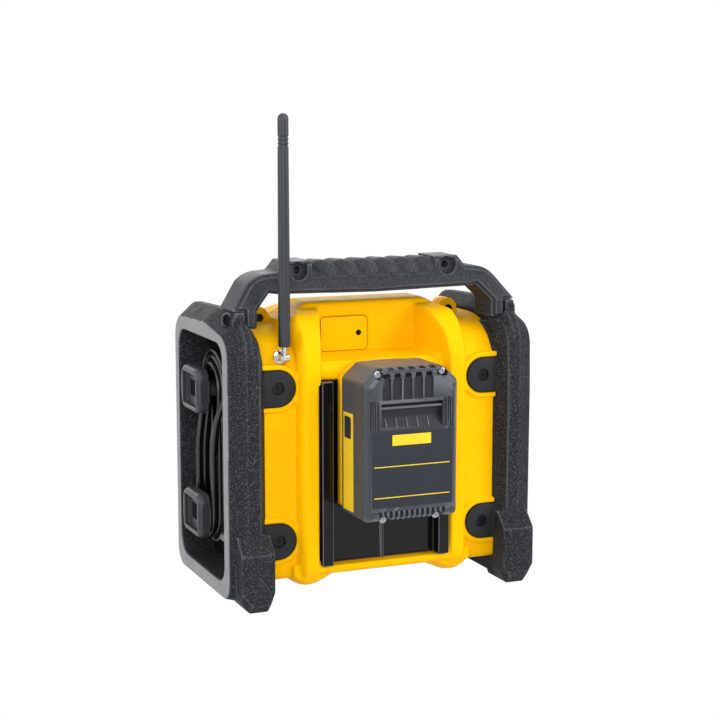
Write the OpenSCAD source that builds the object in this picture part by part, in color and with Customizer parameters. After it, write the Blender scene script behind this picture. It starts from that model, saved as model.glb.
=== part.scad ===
// Jobsite radio: a yellow casing between two black end frames, with a carrying
// handle, a slide-on battery pack at the back, a folding antenna, a memory-cell
// door, cleats with a wound mains lead, and a front with two speakers, a display,
// two knobs and five keys.
// +X is the cleat end, +Y the back with the battery, +Z up. The origin is at the
// middle of the object's footprint, on the surface that it stands on.

/* [Casing] */
// Width of the casing between the end frames
body_w = 204; // [203:0.5:210]
// Height of the casing's shoulders above the ground
shoulder_z = 214; // [212:0.5:218]
// Height of the casing's raised middle above the shoulders
crown_h = 16; // [12:0.5:20]
// Half width of the raised middle's flat top
crown_top_x = 50; // [44:1:54]
// Half width of the raised middle where its slopes end
crown_foot_x = 75; // [73:0.5:78]
// Height of the casing's underside above the ground
belly_z = 17.5; // [16:0.5:20]
// Distance from the seam to the flats beside the end frames
flat_y = 59.5; // [58:0.25:61]
// Distance from the seam to the front face
front_y = 62; // [60:0.25:63]
// Distance from the seam to the face of the upper rear recess
recess_y = 27; // [25:0.5:30]
// Half width of the recess face
recess_x = 41; // [39.5:0.5:44]
// Wall of the casing shells
wall = 3; // [2.5:0.1:3.5]
// Gap between the two shells at the seam
seam_gap = 0.2; // [0.1:0.05:0.4]
// Radius of the front shoulders, seen from the end
shoulder_r = 30; // [26:1:32]
// Height of the rear shoulders' rounding
rear_round = 40; // [36:1:42]

/* [Rear pillars and bay] */
// Distance from the seam to the crest of the pillars
pillar_y = 70; // [68:0.5:71]
// Width of a pillar
pillar_w = 16; // [15:0.5:18]
// Height of the pillars' lower ends above the ground
pillar_z = 9.8; // [8:0.2:13]
// Half width of the battery bay
bay_x = 54; // [52:0.5:54.5]
// Height of the bay's lower edge above the ground
bay_z = 28; // [27:0.5:30]
// Height of the bay's opening
bay_h = 145; // [142:0.5:147]
// Distance from the seam to the floor of the bay
bay_floor_y = 60; // [58.5:0.25:60.5]
// Wall of the bay liner
liner_wall = 2.6; // [2.2:0.1:3]
// Distance from the seam to the bay's side ledges
ledge_y = 70.5; // [69.5:0.25:71.5]
// Width of the bay's side ledges
ledge_w = 9; // [7:0.5:10]

/* [End frames] */
// Thickness of an end frame
frame_w = 26.5; // [25:0.5:29]
// Distance from the seam to the frames' back face
frame_y = 71.5; // [70:0.5:74]
// Distance that the frames' front stands further out than their back
front_d = 6; // [4:0.5:8]
// Inset of the outer face's outline from the frame's full outline
frame_chamfer = 7.5; // [6:0.5:9]
// Height of the outer face's upper edge above the shoulders
frame_rise = 2; // [0:0.5:5]
// Height of the outer face's lower edge above the ground
frame_z = 6; // [4.5:0.5:8]
// Width of the back band between the opening and the outer face's edge
back_band = 12; // [10:0.5:13]
// Width of the other bands around the opening
band = 10.5; // [9:0.5:12]
// Width of the front band
front_band = 10; // [9:0.5:12]
// Radius of the opening's corners
opening_r = 14; // [10:1:18]
// Distance from the seam to the back of the feet
foot_y = 84.6; // [82:0.2:88]
// Width of a foot outside the casing
foot_w = 22; // [20:0.5:24]
// Height at which a foot starts to flare
foot_h = 58; // [50:1:64]
// Distance that the front guards stand out of the frame
guard_d = 7.5; // [4:0.5:10]

/* [Fixings] */
// Distance from the end frame's inner face to a tab's screw
tab_reach = 15; // [14.5:0.25:17]
// Height of the lower tabs' screws above the ground
tab_low_z = 49.6; // [48:0.2:52]
// Distance from the shoulders down to the upper tabs' screws
tab_drop = 44.9; // [43:0.1:47]
// Radius of a tab
tab_r = 13.7; // [12:0.1:14]
// Thickness of a tab
tab_t = 8; // [6:0.5:9]
// Distance from the seam to the tabs' faces
tab_y = 62.6; // [62:0.1:63.5]
// Width of the casing's rim around a tab
tab_rim = 4.6; // [3.5:0.1:5]
// Radius of the tab screws' shanks
screw_r = 2; // [1.6:0.1:2.2]
// Radius of the tab screws' heads
screw_head_r = 4.2; // [3.4:0.1:4.6]
// Distance from the middle to the lugs that join the shells
lug_x = 82.3; // [80:0.1:84]
// Radius of a lug
lug_r = 8.5; // [7.5:0.1:9]
// Depth of a rear lug
lug_d = 6.3; // [5:0.1:8]
// Clearance of a screw in its hole
screw_fit = 0.1; // [0.05:0.01:0.2]
// Clearance between pieces that sit in each other
seat_fit = 0.3; // [0.2:0.05:0.4]

/* [Handle] */
// Height of the grip's top above the shoulders
grip_rise = 50; // [46:0.5:56]
// Depth of the handle from front to back
handle_d = 37; // [32:0.5:38]
// Distance from the seam to the handle's back face
handle_y = 46; // [45:0.25:47]
// Height of the grip bar
grip_h = 24.5; // [22:0.5:26]
// Distance from the middle to the handle's eyes
eye_x = 63.1; // [60:0.1:65]
// Radius of the eyes
eye_r = 3; // [2.5:0.1:3.5]
// Distance between two finger grooves
groove_pitch = 17.3; // [15:0.1:18]

/* [Battery pack] */
// Width of the battery pack
pack_w = 77.6; // [75:0.2:78]
// Length of the battery pack
pack_l = 116.5; // [114:0.5:119]
// Depth of the battery pack
pack_d = 55; // [54:0.25:57]
// Height of the pack's lower end above the bay's lower edge
pack_lift = 43.5; // [40:0.5:45]
// Gap between the pack and the floor of the bay
pack_gap = 2.8; // [2.4:0.1:3.2]
// Depth of the pack's inner shell
base_d = 9.5; // [9:0.1:10]
// Wall of the pack's shells
pack_wall = 2.2; // [1.8:0.1:2.4]
// Radius of a battery cell
cell_r = 9.2; // [9:0.05:9.25]
// Length of a battery cell
cell_l = 65; // [64:0.25:66]

/* [Memory door] */
// Width of the memory-cell door
door_w = 40; // [38:0.5:42]
// Height of the memory-cell door
door_h = 27.5; // [26:0.5:29]
// Thickness of the door
door_t = 1.8; // [1.5:0.1:2]
// Distance from the middle to the door's nearer edge
door_x = -1.5; // [-2.5:0.5:-0.5]

/* [Antenna] */
// Distance from the pillar to the antenna's swivel
antenna_reach = 10.5; // [9.5:0.5:12]
// Distance from the shoulders down to the swivel
antenna_drop = 21.5; // [20:0.5:23]
// Distance from the socket's seat to the antenna's axis
antenna_out = 10.5; // [9.5:0.25:11]
// Radius of the socket ring
socket_r = 5.5; // [5:0.1:6.5]
// Radius of the antenna's rubber rod at its foot
rod_r = 4.75; // [4:0.05:4.9]
// Radius of the rod at its tip
rod_tip_r = 4.2; // [3.5:0.05:4.6]
// Length of the rod
rod_l = 175.5; // [150:0.5:200]
// Radius of the metal stem
stem_r = 1.8; // [1.5:0.05:2]

/* [Cleats and lead] */
// Distance that the cleats stand out of the end frame
cleat_out = 3; // [1:0.5:5]
// Width of a cleat's head
cleat_w = 43; // [42:0.5:45]
// Height of a cleat's head
cleat_h = 31; // [26:0.5:33]
// Thickness of a cleat's head
cleat_t = 11; // [10:0.25:12]
// Distance from the seam forward to the cleats' middle
cleat_y = 25; // [24:0.25:25.5]
// Height of the lower cleat above the ground
cleat_z = 57.5; // [56:0.5:59]
// Distance between the cleats
cleat_pitch = 101; // [99:0.5:103]
// Diameter of the mains lead
lead_d = 5; // [4.5:0.1:5.4]

/* [Front] */
// Distance from the middle to a speaker
speaker_x = 52; // [50:0.5:53]
// Height of the speakers above the ground
speaker_z = 96; // [94:0.5:98]
// Radius of the speaker grilles
grille_r = 36; // [34:0.25:37]
// Gap between the control panel and the upper tabs
panel_gap = 3.3; // [2.5:0.1:6]
// Height of the control panel
panel_h = 56; // [54:0.5:58]
// Distance from the shoulders down to the panel's upper edge
panel_drop = 20; // [18:0.5:21]
// Thickness of the control panel
panel_t = 4; // [3:0.25:4.5]
// Radius of the knobs
knob_r = 14; // [12:0.25:15]
// Length of the knobs
knob_l = 14; // [11:0.25:15]
// Distance from the control panel's side to a knob's axis
knob_inset = 18; // [17:0.5:20]
// Radius of the knobs' shafts
shaft_r = 3; // [2.5:0.1:3.2]
// Gap between a knob and the display window
window_gap = 5; // [4:0.5:8]
// Height of the display window
window_h = 28; // [26:0.5:29]
// Width of a key
key_w = 13; // [11:0.25:14]
// Height of a key
key_h = 7.5; // [6:0.25:8]
// Distance from the control panel's side to the middle of the outer keys
key_inset = 26; // [24:0.5:30]
// Travel of a key
key_travel = 1; // [0.8:0.1:1.1]

/* [Hidden] */
$fn = 48;
eps = 0.01;
slice = 0.2;

yellow = [0.98, 0.74, 0.04];
black = [0.12, 0.12, 0.13];
dark_grey = [0.2, 0.2, 0.21];
steel = [0.75, 0.75, 0.77];
board_green = [0.1, 0.35, 0.2];

// Main planes
half_w = body_w / 2;
case_x = half_w - seam_gap;
frame_x = half_w + frame_w;
cleat_x = frame_x + cleat_out;
crown_z = shoulder_z + crown_h;
bay_top_z = bay_z + bay_h;
pillar_x0 = bay_x + 1.5;
pillar_x1 = pillar_x0 + pillar_w;
pillar_top_z = shoulder_z + 11;
pillar_r = 43;
pillar_bend = 20;
rear_wide = 1.3;
crown_bend_y = 6;
crown_end_y = 38;
ledge_z = bay_top_z + 4;
ledge_r = 10;
ledge_face_y = bay_floor_y + 2;
sill_z = bay_z - 6.5;

// End frame outline: full at the middle of its thickness, smaller at the outer face
frame_top_z = shoulder_z + frame_rise;
frame_corner_r = 18;
frame_flat_x = half_w + 13.5;
frame_lip_x = half_w + 8;
inner_lip_x = half_w - 3;
foot_in_x = half_w - 4.6;
opening_y0 = -(frame_y - frame_chamfer) - front_d + front_band;
opening_y1 = frame_y - frame_chamfer - back_band;
opening_z0 = frame_z + band + 1.5;
opening_z1 = frame_top_z - band;

// Fixings
tab_x = half_w - tab_reach;
tab_high_z = shoulder_z - tab_drop;
tab_zs = [tab_low_z, tab_high_z];
boss_r = tab_r + tab_rim;
boss_y = tab_y - 0.6;
screw_l = 16;
lug_z = shoulder_z + 3;
lug_screw_r = 1.6;

// Handle
grip_z = shoulder_z + grip_rise;
handle_front_y = handle_y - handle_d;
eye_z = grip_z - 7.2;
lean_z = grip_z - 16;
lean_y = 8.5;
leg_front_y = handle_front_y + lean_y;
leg_back_y = handle_y + lean_y;
leg_in_x = half_w - 2.5;
leg_out_x = half_w + 8.6;
leg_seat_z = shoulder_z + 14;
fixing_seat = [frame_x - 7, leg_back_y - 11, shoulder_z + 7];
fixing_turn = 30;

// Battery pack, in the bay
pack_z = bay_z + pack_lift;
pack_top_z = pack_z + pack_l;
pack_y = bay_floor_y + pack_gap;
pack_back_y = pack_y + pack_d;
cover_y = pack_y + base_d;
pack_corner = 9;
rail_x = 27;
rail_z0 = pack_z + 12;
rail_l = 78;
rail_z1 = rail_z0 + rail_l;
latch_w = 24;
latch_travel = 3.5;
latch_h = 12.5;
cell_pitch = 2 * cell_r + 0.3;
cell_y = cover_y + cell_r + 1.4;
cell_z = pack_z + cell_r + 7.8;
holder_x = pack_w / 2 - pack_wall - seat_fit;
grip_d = 4.6;
grip_w = 50;
grip_pocket_h = 19;
grip_pocket_z = pack_top_z - 45;
contact_y = bay_floor_y + 4;

// Antenna
antenna_x = pillar_x1 + antenna_reach;
antenna_z = shoulder_z - antenna_drop;
socket_y = flat_y - 7;
antenna_y = socket_y + antenna_out;
stem_l = 9.7;

// Memory door
door_z = crown_z - 12.5 - door_h;
door_screw_x = door_x + 7.5;

// Cleats and lead
panel_x = half_w - 3.2;
cleat_zs = [cleat_z, cleat_z + cleat_pitch];
post_r = 5;
cleat_rim = 5;
cleat_r = 7;
post_w = 26;
floor_x = half_w - seam_gap;
winding_r = 17;
winding_t = 2 * lead_d;
winding_x1 = cleat_x - cleat_t - 0.5;
gland_y = 20;
gland_x = half_w + 9;
gland_l = 24;
plug_y = 20;
plug_x = half_w + 7.6;
plug_z = opening_z0 + 3;
plug_pin_l = 19;
plug_l = 34;

// Free runs of the lead, as [x, y, z] before the origin is moved: from the gland
// down to the winding, and from the winding down to the plug
feed_points = [[111, 20, 181.5], [111, 20, 174.5], [111.6, 19, 167], [112.8, 16.2, 159.5],
    [114.3, 12, 152], [115.6, 7.6, 144.5], [116.6, 3.4, 137], [117.1, 0, 129],
    [117.3, -2.6, 121], [117.4, -4.3, 113], [117.4, -5.4, 104]];
tail_points = [[109.6, 4.8, 122], [109.6, 5.3, 115], [109.6, 7.4, 108], [109.6, 10.8, 101.5],
    [109.6, 14.8, 95.5], [109.6, 18.6, 90], [109.6, 20, 86], [109.6, 20, 82.5]];

// Front
front_face = -front_y;
panel_top_z = shoulder_z - panel_drop;
panel_mid_z = panel_top_z - panel_h / 2;
panel_face = front_face - panel_t;
panel_w = 2 * (tab_x - tab_r - panel_gap);
knob_x = panel_w / 2 - knob_inset;
window_w = 2 * (knob_x - knob_r - window_gap);
key_pitch = (panel_w / 2 - key_inset) / 2;
panel_rim = 8;
board_face = front_face + 8;
board_t = 1.6;
board_x = tab_x - boss_r - 1.7;
window_z = panel_top_z - 4 - window_h / 2;
knob_z = panel_top_z - 23;
key_z = panel_top_z - panel_h + 10;
knob_gap = 0.8;
key_names = 5;
basket_r = grille_r - 3;
cone_r = basket_r - 5;
core_z = belly_z + wall + seat_fit;
core_w = 56;
core_h = 48;
core_y = 8;
core_d = 34;
core_leg = 9;
coil_w = 10;
coil_fit = 0.5;
coil_d = 5;

// The footprint's middle, so that the whole box is centred on the origin
box_mid = [(cleat_x - frame_x) / 2, (pack_back_y - foot_y) / 2, 0];

function arc(c, r, a0, a1, n = 8) =
    [for (i = [0:n]) let (a = a0 + (a1 - a0) * i / n) [c[0] + r * cos(a), c[1] + r * sin(a)]];

// Outline of a shell seen from the end: a flat wall at y, rounded below and above;
// the upper rounding is r1 high and wide times as deep
function side_outline(y, z0, z1, r0, r1, wide = 1) = concat([[0, z0]],
    arc([y - r0, z0 + r0], r0, -90, 0, 4),
    [for (p = arc([0, 0], r1, 0, 90, 12)) [y - (r1 - p[0]) * wide, z1 - r1 + p[1]]], [[0, z1]]);

function crown_outline(inset) = [[-crown_foot_x + inset, belly_z + inset],
    [crown_foot_x - inset, belly_z + inset], [crown_foot_x - inset, shoulder_z + 3 - inset],
    [crown_top_x - inset / 2, crown_z - inset], [-crown_top_x + inset / 2, crown_z - inset],
    [-crown_foot_x + inset, shoulder_z + 3 - inset]];

module along_x(x0, x1) {
    translate([x0, 0, 0]) rotate([90, 0, 90]) linear_extrude(x1 - x0) children();
}

module along_y(y0, y1) {
    translate([0, y1, 0]) rotate([90, 0, 0]) linear_extrude(y1 - y0) children();
}

module box(low, high) {
    translate(low) cube(high - low);
}

// Cylinder along Y between two depths
module rod_y(x, z, r, y0, y1) {
    translate([x, y0, z]) rotate([-90, 0, 0]) cylinder(h = y1 - y0, r = r);
}

// Cylinder along X between two places
module rod_x(y, z, r, x0, x1) {
    translate([x0, y, z]) rotate([0, 90, 0]) cylinder(h = x1 - x0, r = r);
}

module rounded_plate(x0, x1, z0, z1, y0, y1, r) {
    along_y(y0, y1) union() {
        translate([x0 + r, z0]) square([x1 - x0 - 2 * r, z1 - z0]);
        translate([x0, z0 + r]) square([x1 - x0, z1 - z0 - 2 * r]);
        for (x = [x0 + r, x1 - r], z = [z0 + r, z1 - r]) translate([x, z]) circle(r);
    }
}

// Children as they are on the +X side, or mirrored to the -X side
module on_side(side) {
    mirror([side < 0 ? 1 : 0, 0, 0]) children();
}

module both_ends() {
    for (side = [-1, 1]) on_side(side) children();
}

// Place whole pieces so that the footprint's middle is the origin
module placed(c) {
    color(c) translate(-box_mid) children();
}

// ---- casing ----

module boss(y0, y1) {
    for (z = tab_zs) {
        intersection() {
            rod_y(tab_x, z, boss_r, y0, y1);
            box([0, y0, 0], [case_x, y1, crown_z]);
        }
        box([tab_x, y0, z - boss_r], [case_x, y1, z + boss_r]);
    }
}

// Pocket that takes a tab of the end frame, and its screw hole
module tab_pocket() {
    for (z = tab_zs) {
        rod_y(tab_x, z, tab_r + seat_fit, tab_y - tab_t - seat_fit, tab_y + 2);
        box([tab_x, tab_y - tab_t - seat_fit, z - tab_r - seat_fit],
            [half_w + 1, tab_y + 2, z + tab_r + seat_fit]);
        rod_y(tab_x, z, screw_r + screw_fit, tab_y - screw_l - 4, tab_y);
    }
}

// Seat of an end panel in the casing's end wall
module panel_seat() {
    along_x(panel_x - seat_fit, half_w + 1) opening_outline(5 + seat_fit);
}

module flats(y, inset, r, wide = 1) {
    along_x(-case_x + inset, case_x - inset)
        polygon(side_outline(y - inset, belly_z + inset, shoulder_z - inset, 6 - inset / 2,
            r - inset, wide));
}

module crown(y, r, inset) {
    intersection() {
        along_y(-eps, y + 1) polygon(crown_outline(inset));
        along_x(-half_w, half_w)
            polygon(side_outline(y - inset, belly_z + inset, crown_z - inset, 1, r - inset / 2));
    }
}

// Raised middle of the front shell: flat near the seam, then sloping down
module front_crown(inset) {
    slope = (crown_h + 0.6) / (crown_end_y - crown_bend_y);
    end_y = crown_end_y - inset;
    intersection() {
        along_y(-eps, crown_end_y + 1) polygon(crown_outline(inset));
        along_x(-half_w, half_w) polygon([[-eps, shoulder_z - 40], [end_y, shoulder_z - 40],
            [end_y, crown_z - 1.12 * inset - slope * (end_y - crown_bend_y)],
            [crown_bend_y - inset / 4, crown_z - inset], [-eps, crown_z - inset]]);
    }
}

// Everything below the slopes of the raised middle
module below_crown() {
    along_y(-1, pillar_y + 2) polygon([[0, 0], [crown_foot_x, 0], [crown_foot_x, shoulder_z + 3],
        [crown_top_x, crown_z], [0, crown_z]]);
}

function pillar_outline(inset) = side_outline(pillar_y - inset, pillar_z + 4 + inset,
    pillar_top_z - inset, pillar_bend - 4 - inset, pillar_r - inset);

// Lower end of a pillar, seen from behind, raised by a rise
function bump_outline(rise) = [for (p = [[-17, 6.2], [-11, 3.7], [-4, 0.6], [1, 0], [3, 0],
    [7, 0.8], [12, 3.6], [16, 6.4], [16, 14], [-17, 14]]) [pillar_x0 + 4.5 + p[0], pillar_z + p[1] + rise]];

// Rounded lower end of a pillar, between the sill and the flat
module pillar_bump() {
    y0 = pillar_y - pillar_bend;
    hull() {
        along_y(10, y0 + 1) polygon(bump_outline(0));
        along_y(y0, y0 + 8) polygon(bump_outline(1.7));
        along_y(y0, y0 + 14) polygon(bump_outline(5.7));
    }
}

// A pillar with its outer edge rounded off
module pillar() {
    hull() {
        along_x(pillar_x0, pillar_x1 - eps) polygon(pillar_outline(8));
        along_x(pillar_x0, pillar_x1 - 2.2) polygon(pillar_outline(3));
        along_x(pillar_x0 + 1.5, pillar_x1 - 5) polygon(pillar_outline(0));
    }
}

// Slanted wall between the recess face and a pillar
module cheek() {
    intersection() {
        linear_extrude(crown_z + 1)
            polygon([[recess_x, recess_y], [recess_x, 0], [pillar_x0 + 2, 0],
                [pillar_x0 + 2, pillar_y + 1], [pillar_x0, pillar_y + 1], [pillar_x0 - 1.5, pillar_y - 2]]);
        along_x(0, half_w) polygon(pillar_outline(0));
        box([0, 0, bay_top_z - 2], [half_w, pillar_y + 2, crown_z]);
    }
}

// The rear recess above the ledge, grown by a wall for the shell's inside
module recess(grow) {
    translate([0, 0, ledge_z + ledge_r - grow]) linear_extrude(crown_z)
        polygon([[-recess_x - grow / 2, recess_y - grow], [recess_x + grow / 2, recess_y - grow],
            [pillar_x0 + grow, pillar_y + 1], [-pillar_x0 - grow, pillar_y + 1]]);
}

// Block around the bay, with the ledge below the recess and the sill below the bay
module bay_block() {
    along_x(-pillar_x0 - 1, pillar_x0 + 1)
        polygon(concat([[0, belly_z], [flat_y - 6, belly_z], [pillar_y - 4, sill_z], [pillar_y - 2, sill_z + 2],
            [pillar_y - 2, bay_z + 4], [ledge_face_y, bay_z + 4]],
            arc([ledge_face_y - ledge_r, ledge_z], ledge_r, 0, 90), [[recess_y, ledge_z + ledge_r + 3],
            [0, ledge_z + ledge_r + 3]]));
}

module bay_hole() {
    box([-bay_x - seat_fit, bay_floor_y - liner_wall - seat_fit, bay_z - seat_fit],
        [bay_x + seat_fit, pillar_y + 10, bay_top_z + seat_fit]);
    box([-bay_x + 4, -1, bay_z + 4], [bay_x - 4, bay_floor_y, bay_top_z - 4]);
    box([-latch_w / 2 - 1, bay_floor_y - 4, bay_top_z - 1], [latch_w / 2 + 1, pillar_y, crown_z + 1]);
}

module lugs(y0, y1) {
    both_ends() rod_y(lug_x, lug_z, lug_r, y0, y1);
}

module lug_holes() {
    both_ends() rod_y(lug_x, lug_z, lug_screw_r + screw_fit, -12, lug_d + 2);
    both_ends() rod_y(lug_x, lug_z, 3.4, lug_d, lug_d + 3);
}

module rear_case() {
    placed(yellow) difference() {
        union() {
            difference() {
                union() {
                    difference() {
                        flats(flat_y, 0, rear_round, rear_wide);
                        recess(0);
                    }
                    crown(recess_y, 4, 0);
                    both_ends() intersection() {
                        union() {
                            pillar();
                            cheek();
                        }
                        below_crown();
                    }
                    both_ends() pillar_bump();
                    bay_block();
                }
                difference() {
                    flats(flat_y, wall, rear_round, rear_wide);
                    recess(wall);
                }
                crown(recess_y, 4, wall);
                both_ends() box([pillar_x0 + wall, -1, pillar_z + 4 * wall],
                    [pillar_x1 - wall - 1, pillar_y - 2.5 * wall, bay_top_z - 8]);
                box([-bay_x + 4, -1, belly_z + wall],
                    [bay_x - 4, bay_floor_y - liner_wall - 2 * wall, bay_top_z - 4]);
            }
            difference() {
                both_ends() boss(flat_y - wall - 14, boss_y);
                box([-half_w, flat_y - wall - 15, 0], [half_w, flat_y - wall - 14, crown_z]);
            }
            rod_y(antenna_x, antenna_z, socket_r + 1.6, socket_y - 8, socket_y - 0.9);
            lugs(seam_gap, lug_d);
            memory_well();
        }
        box([-half_w - 1, -1, 0], [half_w + 1, seam_gap / 2, crown_z + 1]);
        both_ends() tab_pocket();
        both_ends() panel_seat();
        bay_hole();
        lug_holes();
        memory_pocket();
        rod_y(antenna_x, antenna_z, socket_r - 1.2, socket_y - wall - 1, socket_y + 1);
        rod_y(antenna_x, antenna_z, socket_r, socket_y - wall - 8, socket_y - wall);
        rod_y(antenna_x, antenna_z, socket_r + seat_fit / 2, socket_y - 1, boss_y + 1);
    }
}

module front_case() {
    placed(yellow) difference() {
        union() {
            difference() {
                mirror([0, 1, 0]) union() {
                    flats(front_y, 0, shoulder_r);
                    front_crown(0);
                }
                mirror([0, 1, 0]) union() {
                    flats(front_y, wall, shoulder_r);
                    front_crown(wall);
                }
            }
            mirror([0, 1, 0]) both_ends() boss(front_y - wall - 12, min(boss_y, front_y));
            lugs(-10, -seam_gap);
            board_posts();
            speaker_seats();
        }
        box([-half_w - 1, -seam_gap / 2, 0], [half_w + 1, 1, crown_z + 1]);
        mirror([0, 1, 0]) both_ends() tab_pocket();
        both_ends() panel_seat();
        lug_holes();
        both_ends() rod_y(speaker_x, speaker_z, cone_r, front_face - 1, 0);
        both_ends() rod_y(speaker_x, speaker_z, grille_r + seat_fit, front_face - 1, front_face + 2);
        rounded_plate(-panel_w / 2 + panel_rim, panel_w / 2 - panel_rim, panel_top_z - panel_h + 3, panel_top_z - 4,
            front_face - 1, front_face + wall + 1, 3);
    }
}

// Posts behind the front wall that carry the main board
module board_posts() {
    for (x = [-1, 1] * (board_x - 2), z = [panel_top_z - 4, panel_top_z - panel_h + 2.5])
        rod_y(x, z, 3, front_face + wall - eps, board_face);
}

// Rings behind the front wall that the speaker baskets stand on
module speaker_seats() {
    both_ends() difference() {
        rod_y(speaker_x, speaker_z, basket_r, front_face + wall - eps, front_face + wall + 1.5);
        rod_y(speaker_x, speaker_z, cone_r, front_face, front_face + wall + 2);
    }
}

// ---- end frames ----

// Corner circles of the frame's outline, for a hull
module frame_corners(grow, top) {
    rise = grow * 0.55;
    side_y = frame_y - frame_chamfer;
    translate([-side_y - front_d + frame_corner_r, top - 2 - frame_corner_r])
        circle(frame_corner_r + grow, $fn = 32);
    translate([side_y - frame_corner_r, top - 6 - frame_corner_r]) circle(frame_corner_r + grow, $fn = 32);
    translate([5, top - 60]) circle(60 + grow, $fn = 64);
    for (y = [14 - side_y - front_d, side_y - 14]) translate([y, frame_z + 14 + rise])
        circle(14 + grow, $fn = 32);
}

module opening_outline(grow) {
    r = opening_r + grow;
    hull() for (y = [opening_y0 + opening_r, opening_y1 - opening_r],
            z = [opening_z0 + opening_r, opening_z1 - opening_r - 2])
        translate([y, z]) circle(r, $fn = 32);
}

// Outline of a foot seen from the end, from a given depth, with its lower edge lifted
function foot_outline(y0, inset, lift) = [[y0, lift], [foot_y - 7 - inset, lift],
    [foot_y - inset, 7 + lift], [foot_y - inset, foot_h - 12], [frame_y - inset / 2, foot_h], [y0, foot_h]];

// A foot with chamfered edges
module foot() {
    hull() {
        along_x(half_w, half_w + 15) polygon(foot_outline(44, 0, 0));
        along_x(half_w + foot_w - slice, half_w + foot_w) polygon(foot_outline(52, 2.5, 9));
    }
}

// Inner part of a back foot, behind the casing
module foot_lip() {
    lip_y = boss_y + 0.4;
    hull() {
        along_x(foot_in_x, foot_in_x + slice) polygon(foot_outline(lip_y, 2.5, 9));
        along_x(half_w - eps, half_w + 3) polygon(foot_outline(lip_y, 0, 0));
    }
}

// Lip of the frame that covers the casing's end edge, behind the flat
module inner_lip() {
    for (step = [0, 1]) intersection() {
        along_x(inner_lip_x + step * 1.4, half_w + 1)
            frame_corners(frame_chamfer - 2 + step * 1.5, frame_top_z - 6);
        box([0, boss_y + seat_fit, foot_h - 10], [half_w + 2, frame_y + 1, shoulder_z]);
    }
}

// Guard on the front face, level with the upper tabs
module guard() {
    hull() {
        box([half_w + 3, -frame_y - guard_d, tab_high_z - 18],
            [half_w + foot_w - 1, -frame_y + 4, tab_high_z + 14]);
        box([half_w + 1, -frame_y, tab_high_z - 25], [half_w + foot_w + 1, -frame_y + 6, tab_high_z + 21]);
    }
}

module tab() {
    for (z = tab_zs) {
        rod_y(tab_x, z, tab_r, tab_y - tab_t, tab_y);
        box([tab_x, tab_y - tab_t, z - tab_r], [half_w + 4, tab_y, z + tab_r]);
    }
}

module tab_holes() {
    for (z = tab_zs) {
        rod_y(tab_x, z, screw_r + screw_fit, 0, tab_y + 1);
        rod_y(tab_x, z, screw_head_r + 0.8, tab_y - 4, tab_y + 1);
    }
}

// Place of the screw that holds a handle leg, from outside and a little from behind
module along_fixing() {
    translate(fixing_seat) rotate([0, 90, fixing_turn]) children();
}

// Block on the frame's top, outside the lower end of a handle leg
module leg_block() {
    x0 = leg_out_x + seat_fit;
    hull() {
        box([x0, leg_front_y + 2, shoulder_z - 8], [frame_x - 8.5, leg_back_y - 1, leg_seat_z - 6]);
        box([x0, leg_front_y + 2, shoulder_z - 8], [frame_x - 11, leg_back_y, leg_seat_z - seat_fit]);
    }
    along_fixing() translate([0, 0, -8]) cylinder(h = 8, r = 6.2);
}

module end_frame(side) {
    placed(black) on_side(side) difference() {
        union() {
            difference() {
                hull() {
                    along_x(half_w, half_w + slice) frame_corners(frame_chamfer, frame_top_z - 6);
                    along_x(frame_lip_x, frame_flat_x) frame_corners(frame_chamfer, frame_top_z + 3.5);
                    along_x(frame_x - slice, frame_x) frame_corners(0, frame_top_z);
                }
                box([half_w - 1, leg_front_y - seat_fit, shoulder_z],
                    [leg_out_x + seat_fit + eps, leg_back_y + seat_fit, grip_z]);
            }
            foot();
            mirror([0, 1, 0]) foot();
            foot_lip();
            inner_lip();
            guard();
            tab();
            mirror([0, 1, 0]) tab();
            leg_block();
        }
        along_x(half_w - 1, frame_x + 1) opening_outline(0);
        along_fixing() translate([0, 0, -25]) cylinder(h = 30, r = screw_r + screw_fit);
        along_fixing() translate([0, 0, -5]) cylinder(h = 10, r = 4.4);
        tab_holes();
        mirror([0, 1, 0]) tab_holes();
        along_x(half_w + foot_w - 4, frame_x) translate([foot_y - 17, 14]) square([5, 24]);
    }
}

module end_frame_left() { end_frame(1); }

module end_frame_right() { end_frame(-1); }

module end_panel(side) {
    placed(black) on_side(side) difference() {
        along_x(panel_x, floor_x) opening_outline(5);
        for (face = [0, 1], z = tab_zs) mirror([0, face, 0])
            box([panel_x - 1, tab_y - tab_t - seat_fit, z - tab_r - seat_fit],
                [half_w + 1, frame_y, z + tab_r + seat_fit]);
        for (y = [opening_y0 + 10, opening_y1 - 10])
            along_x(floor_x - 1, half_w) translate([y, opening_z0 + 20]) square([1.2, opening_z1 - opening_z0 - 40]);
    }
}

module end_panel_left() { end_panel(1); }

module end_panel_right() { end_panel(-1); }

// A cross-head screw that points along -Z from its head's seat
module screw(shank_r, head_r, head_h, shank_l) {
    difference() {
        union() {
            cylinder(h = head_h, r = head_r);
            translate([0, 0, -shank_l]) cylinder(h = shank_l + eps, r = shank_r);
        }
        for (a = [0, 90]) rotate(a) box([-head_r * 0.6, -0.4, head_h - 1], [head_r * 0.6, 0.4, head_h + 1]);
    }
}

module frame_screws() {
    placed(steel) both_ends() for (face = [0, 1], z = tab_zs)
        mirror([0, face, 0]) translate([tab_x, tab_y - 4, z]) rotate([-90, 0, 0])
            screw(screw_r, screw_head_r, 2.4, screw_l - 4);
}

module lug_screws() {
    placed(steel) both_ends() translate([lug_x, lug_d, lug_z]) rotate([-90, 0, 0])
        screw(lug_screw_r, 3.1, 1.8, lug_d + 8);
}

module handle_screws() {
    placed(steel) both_ends() along_fixing() translate([0, 0, -5]) screw(screw_r, 3.8, 2, 16);
}

// ---- handle ----

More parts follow.
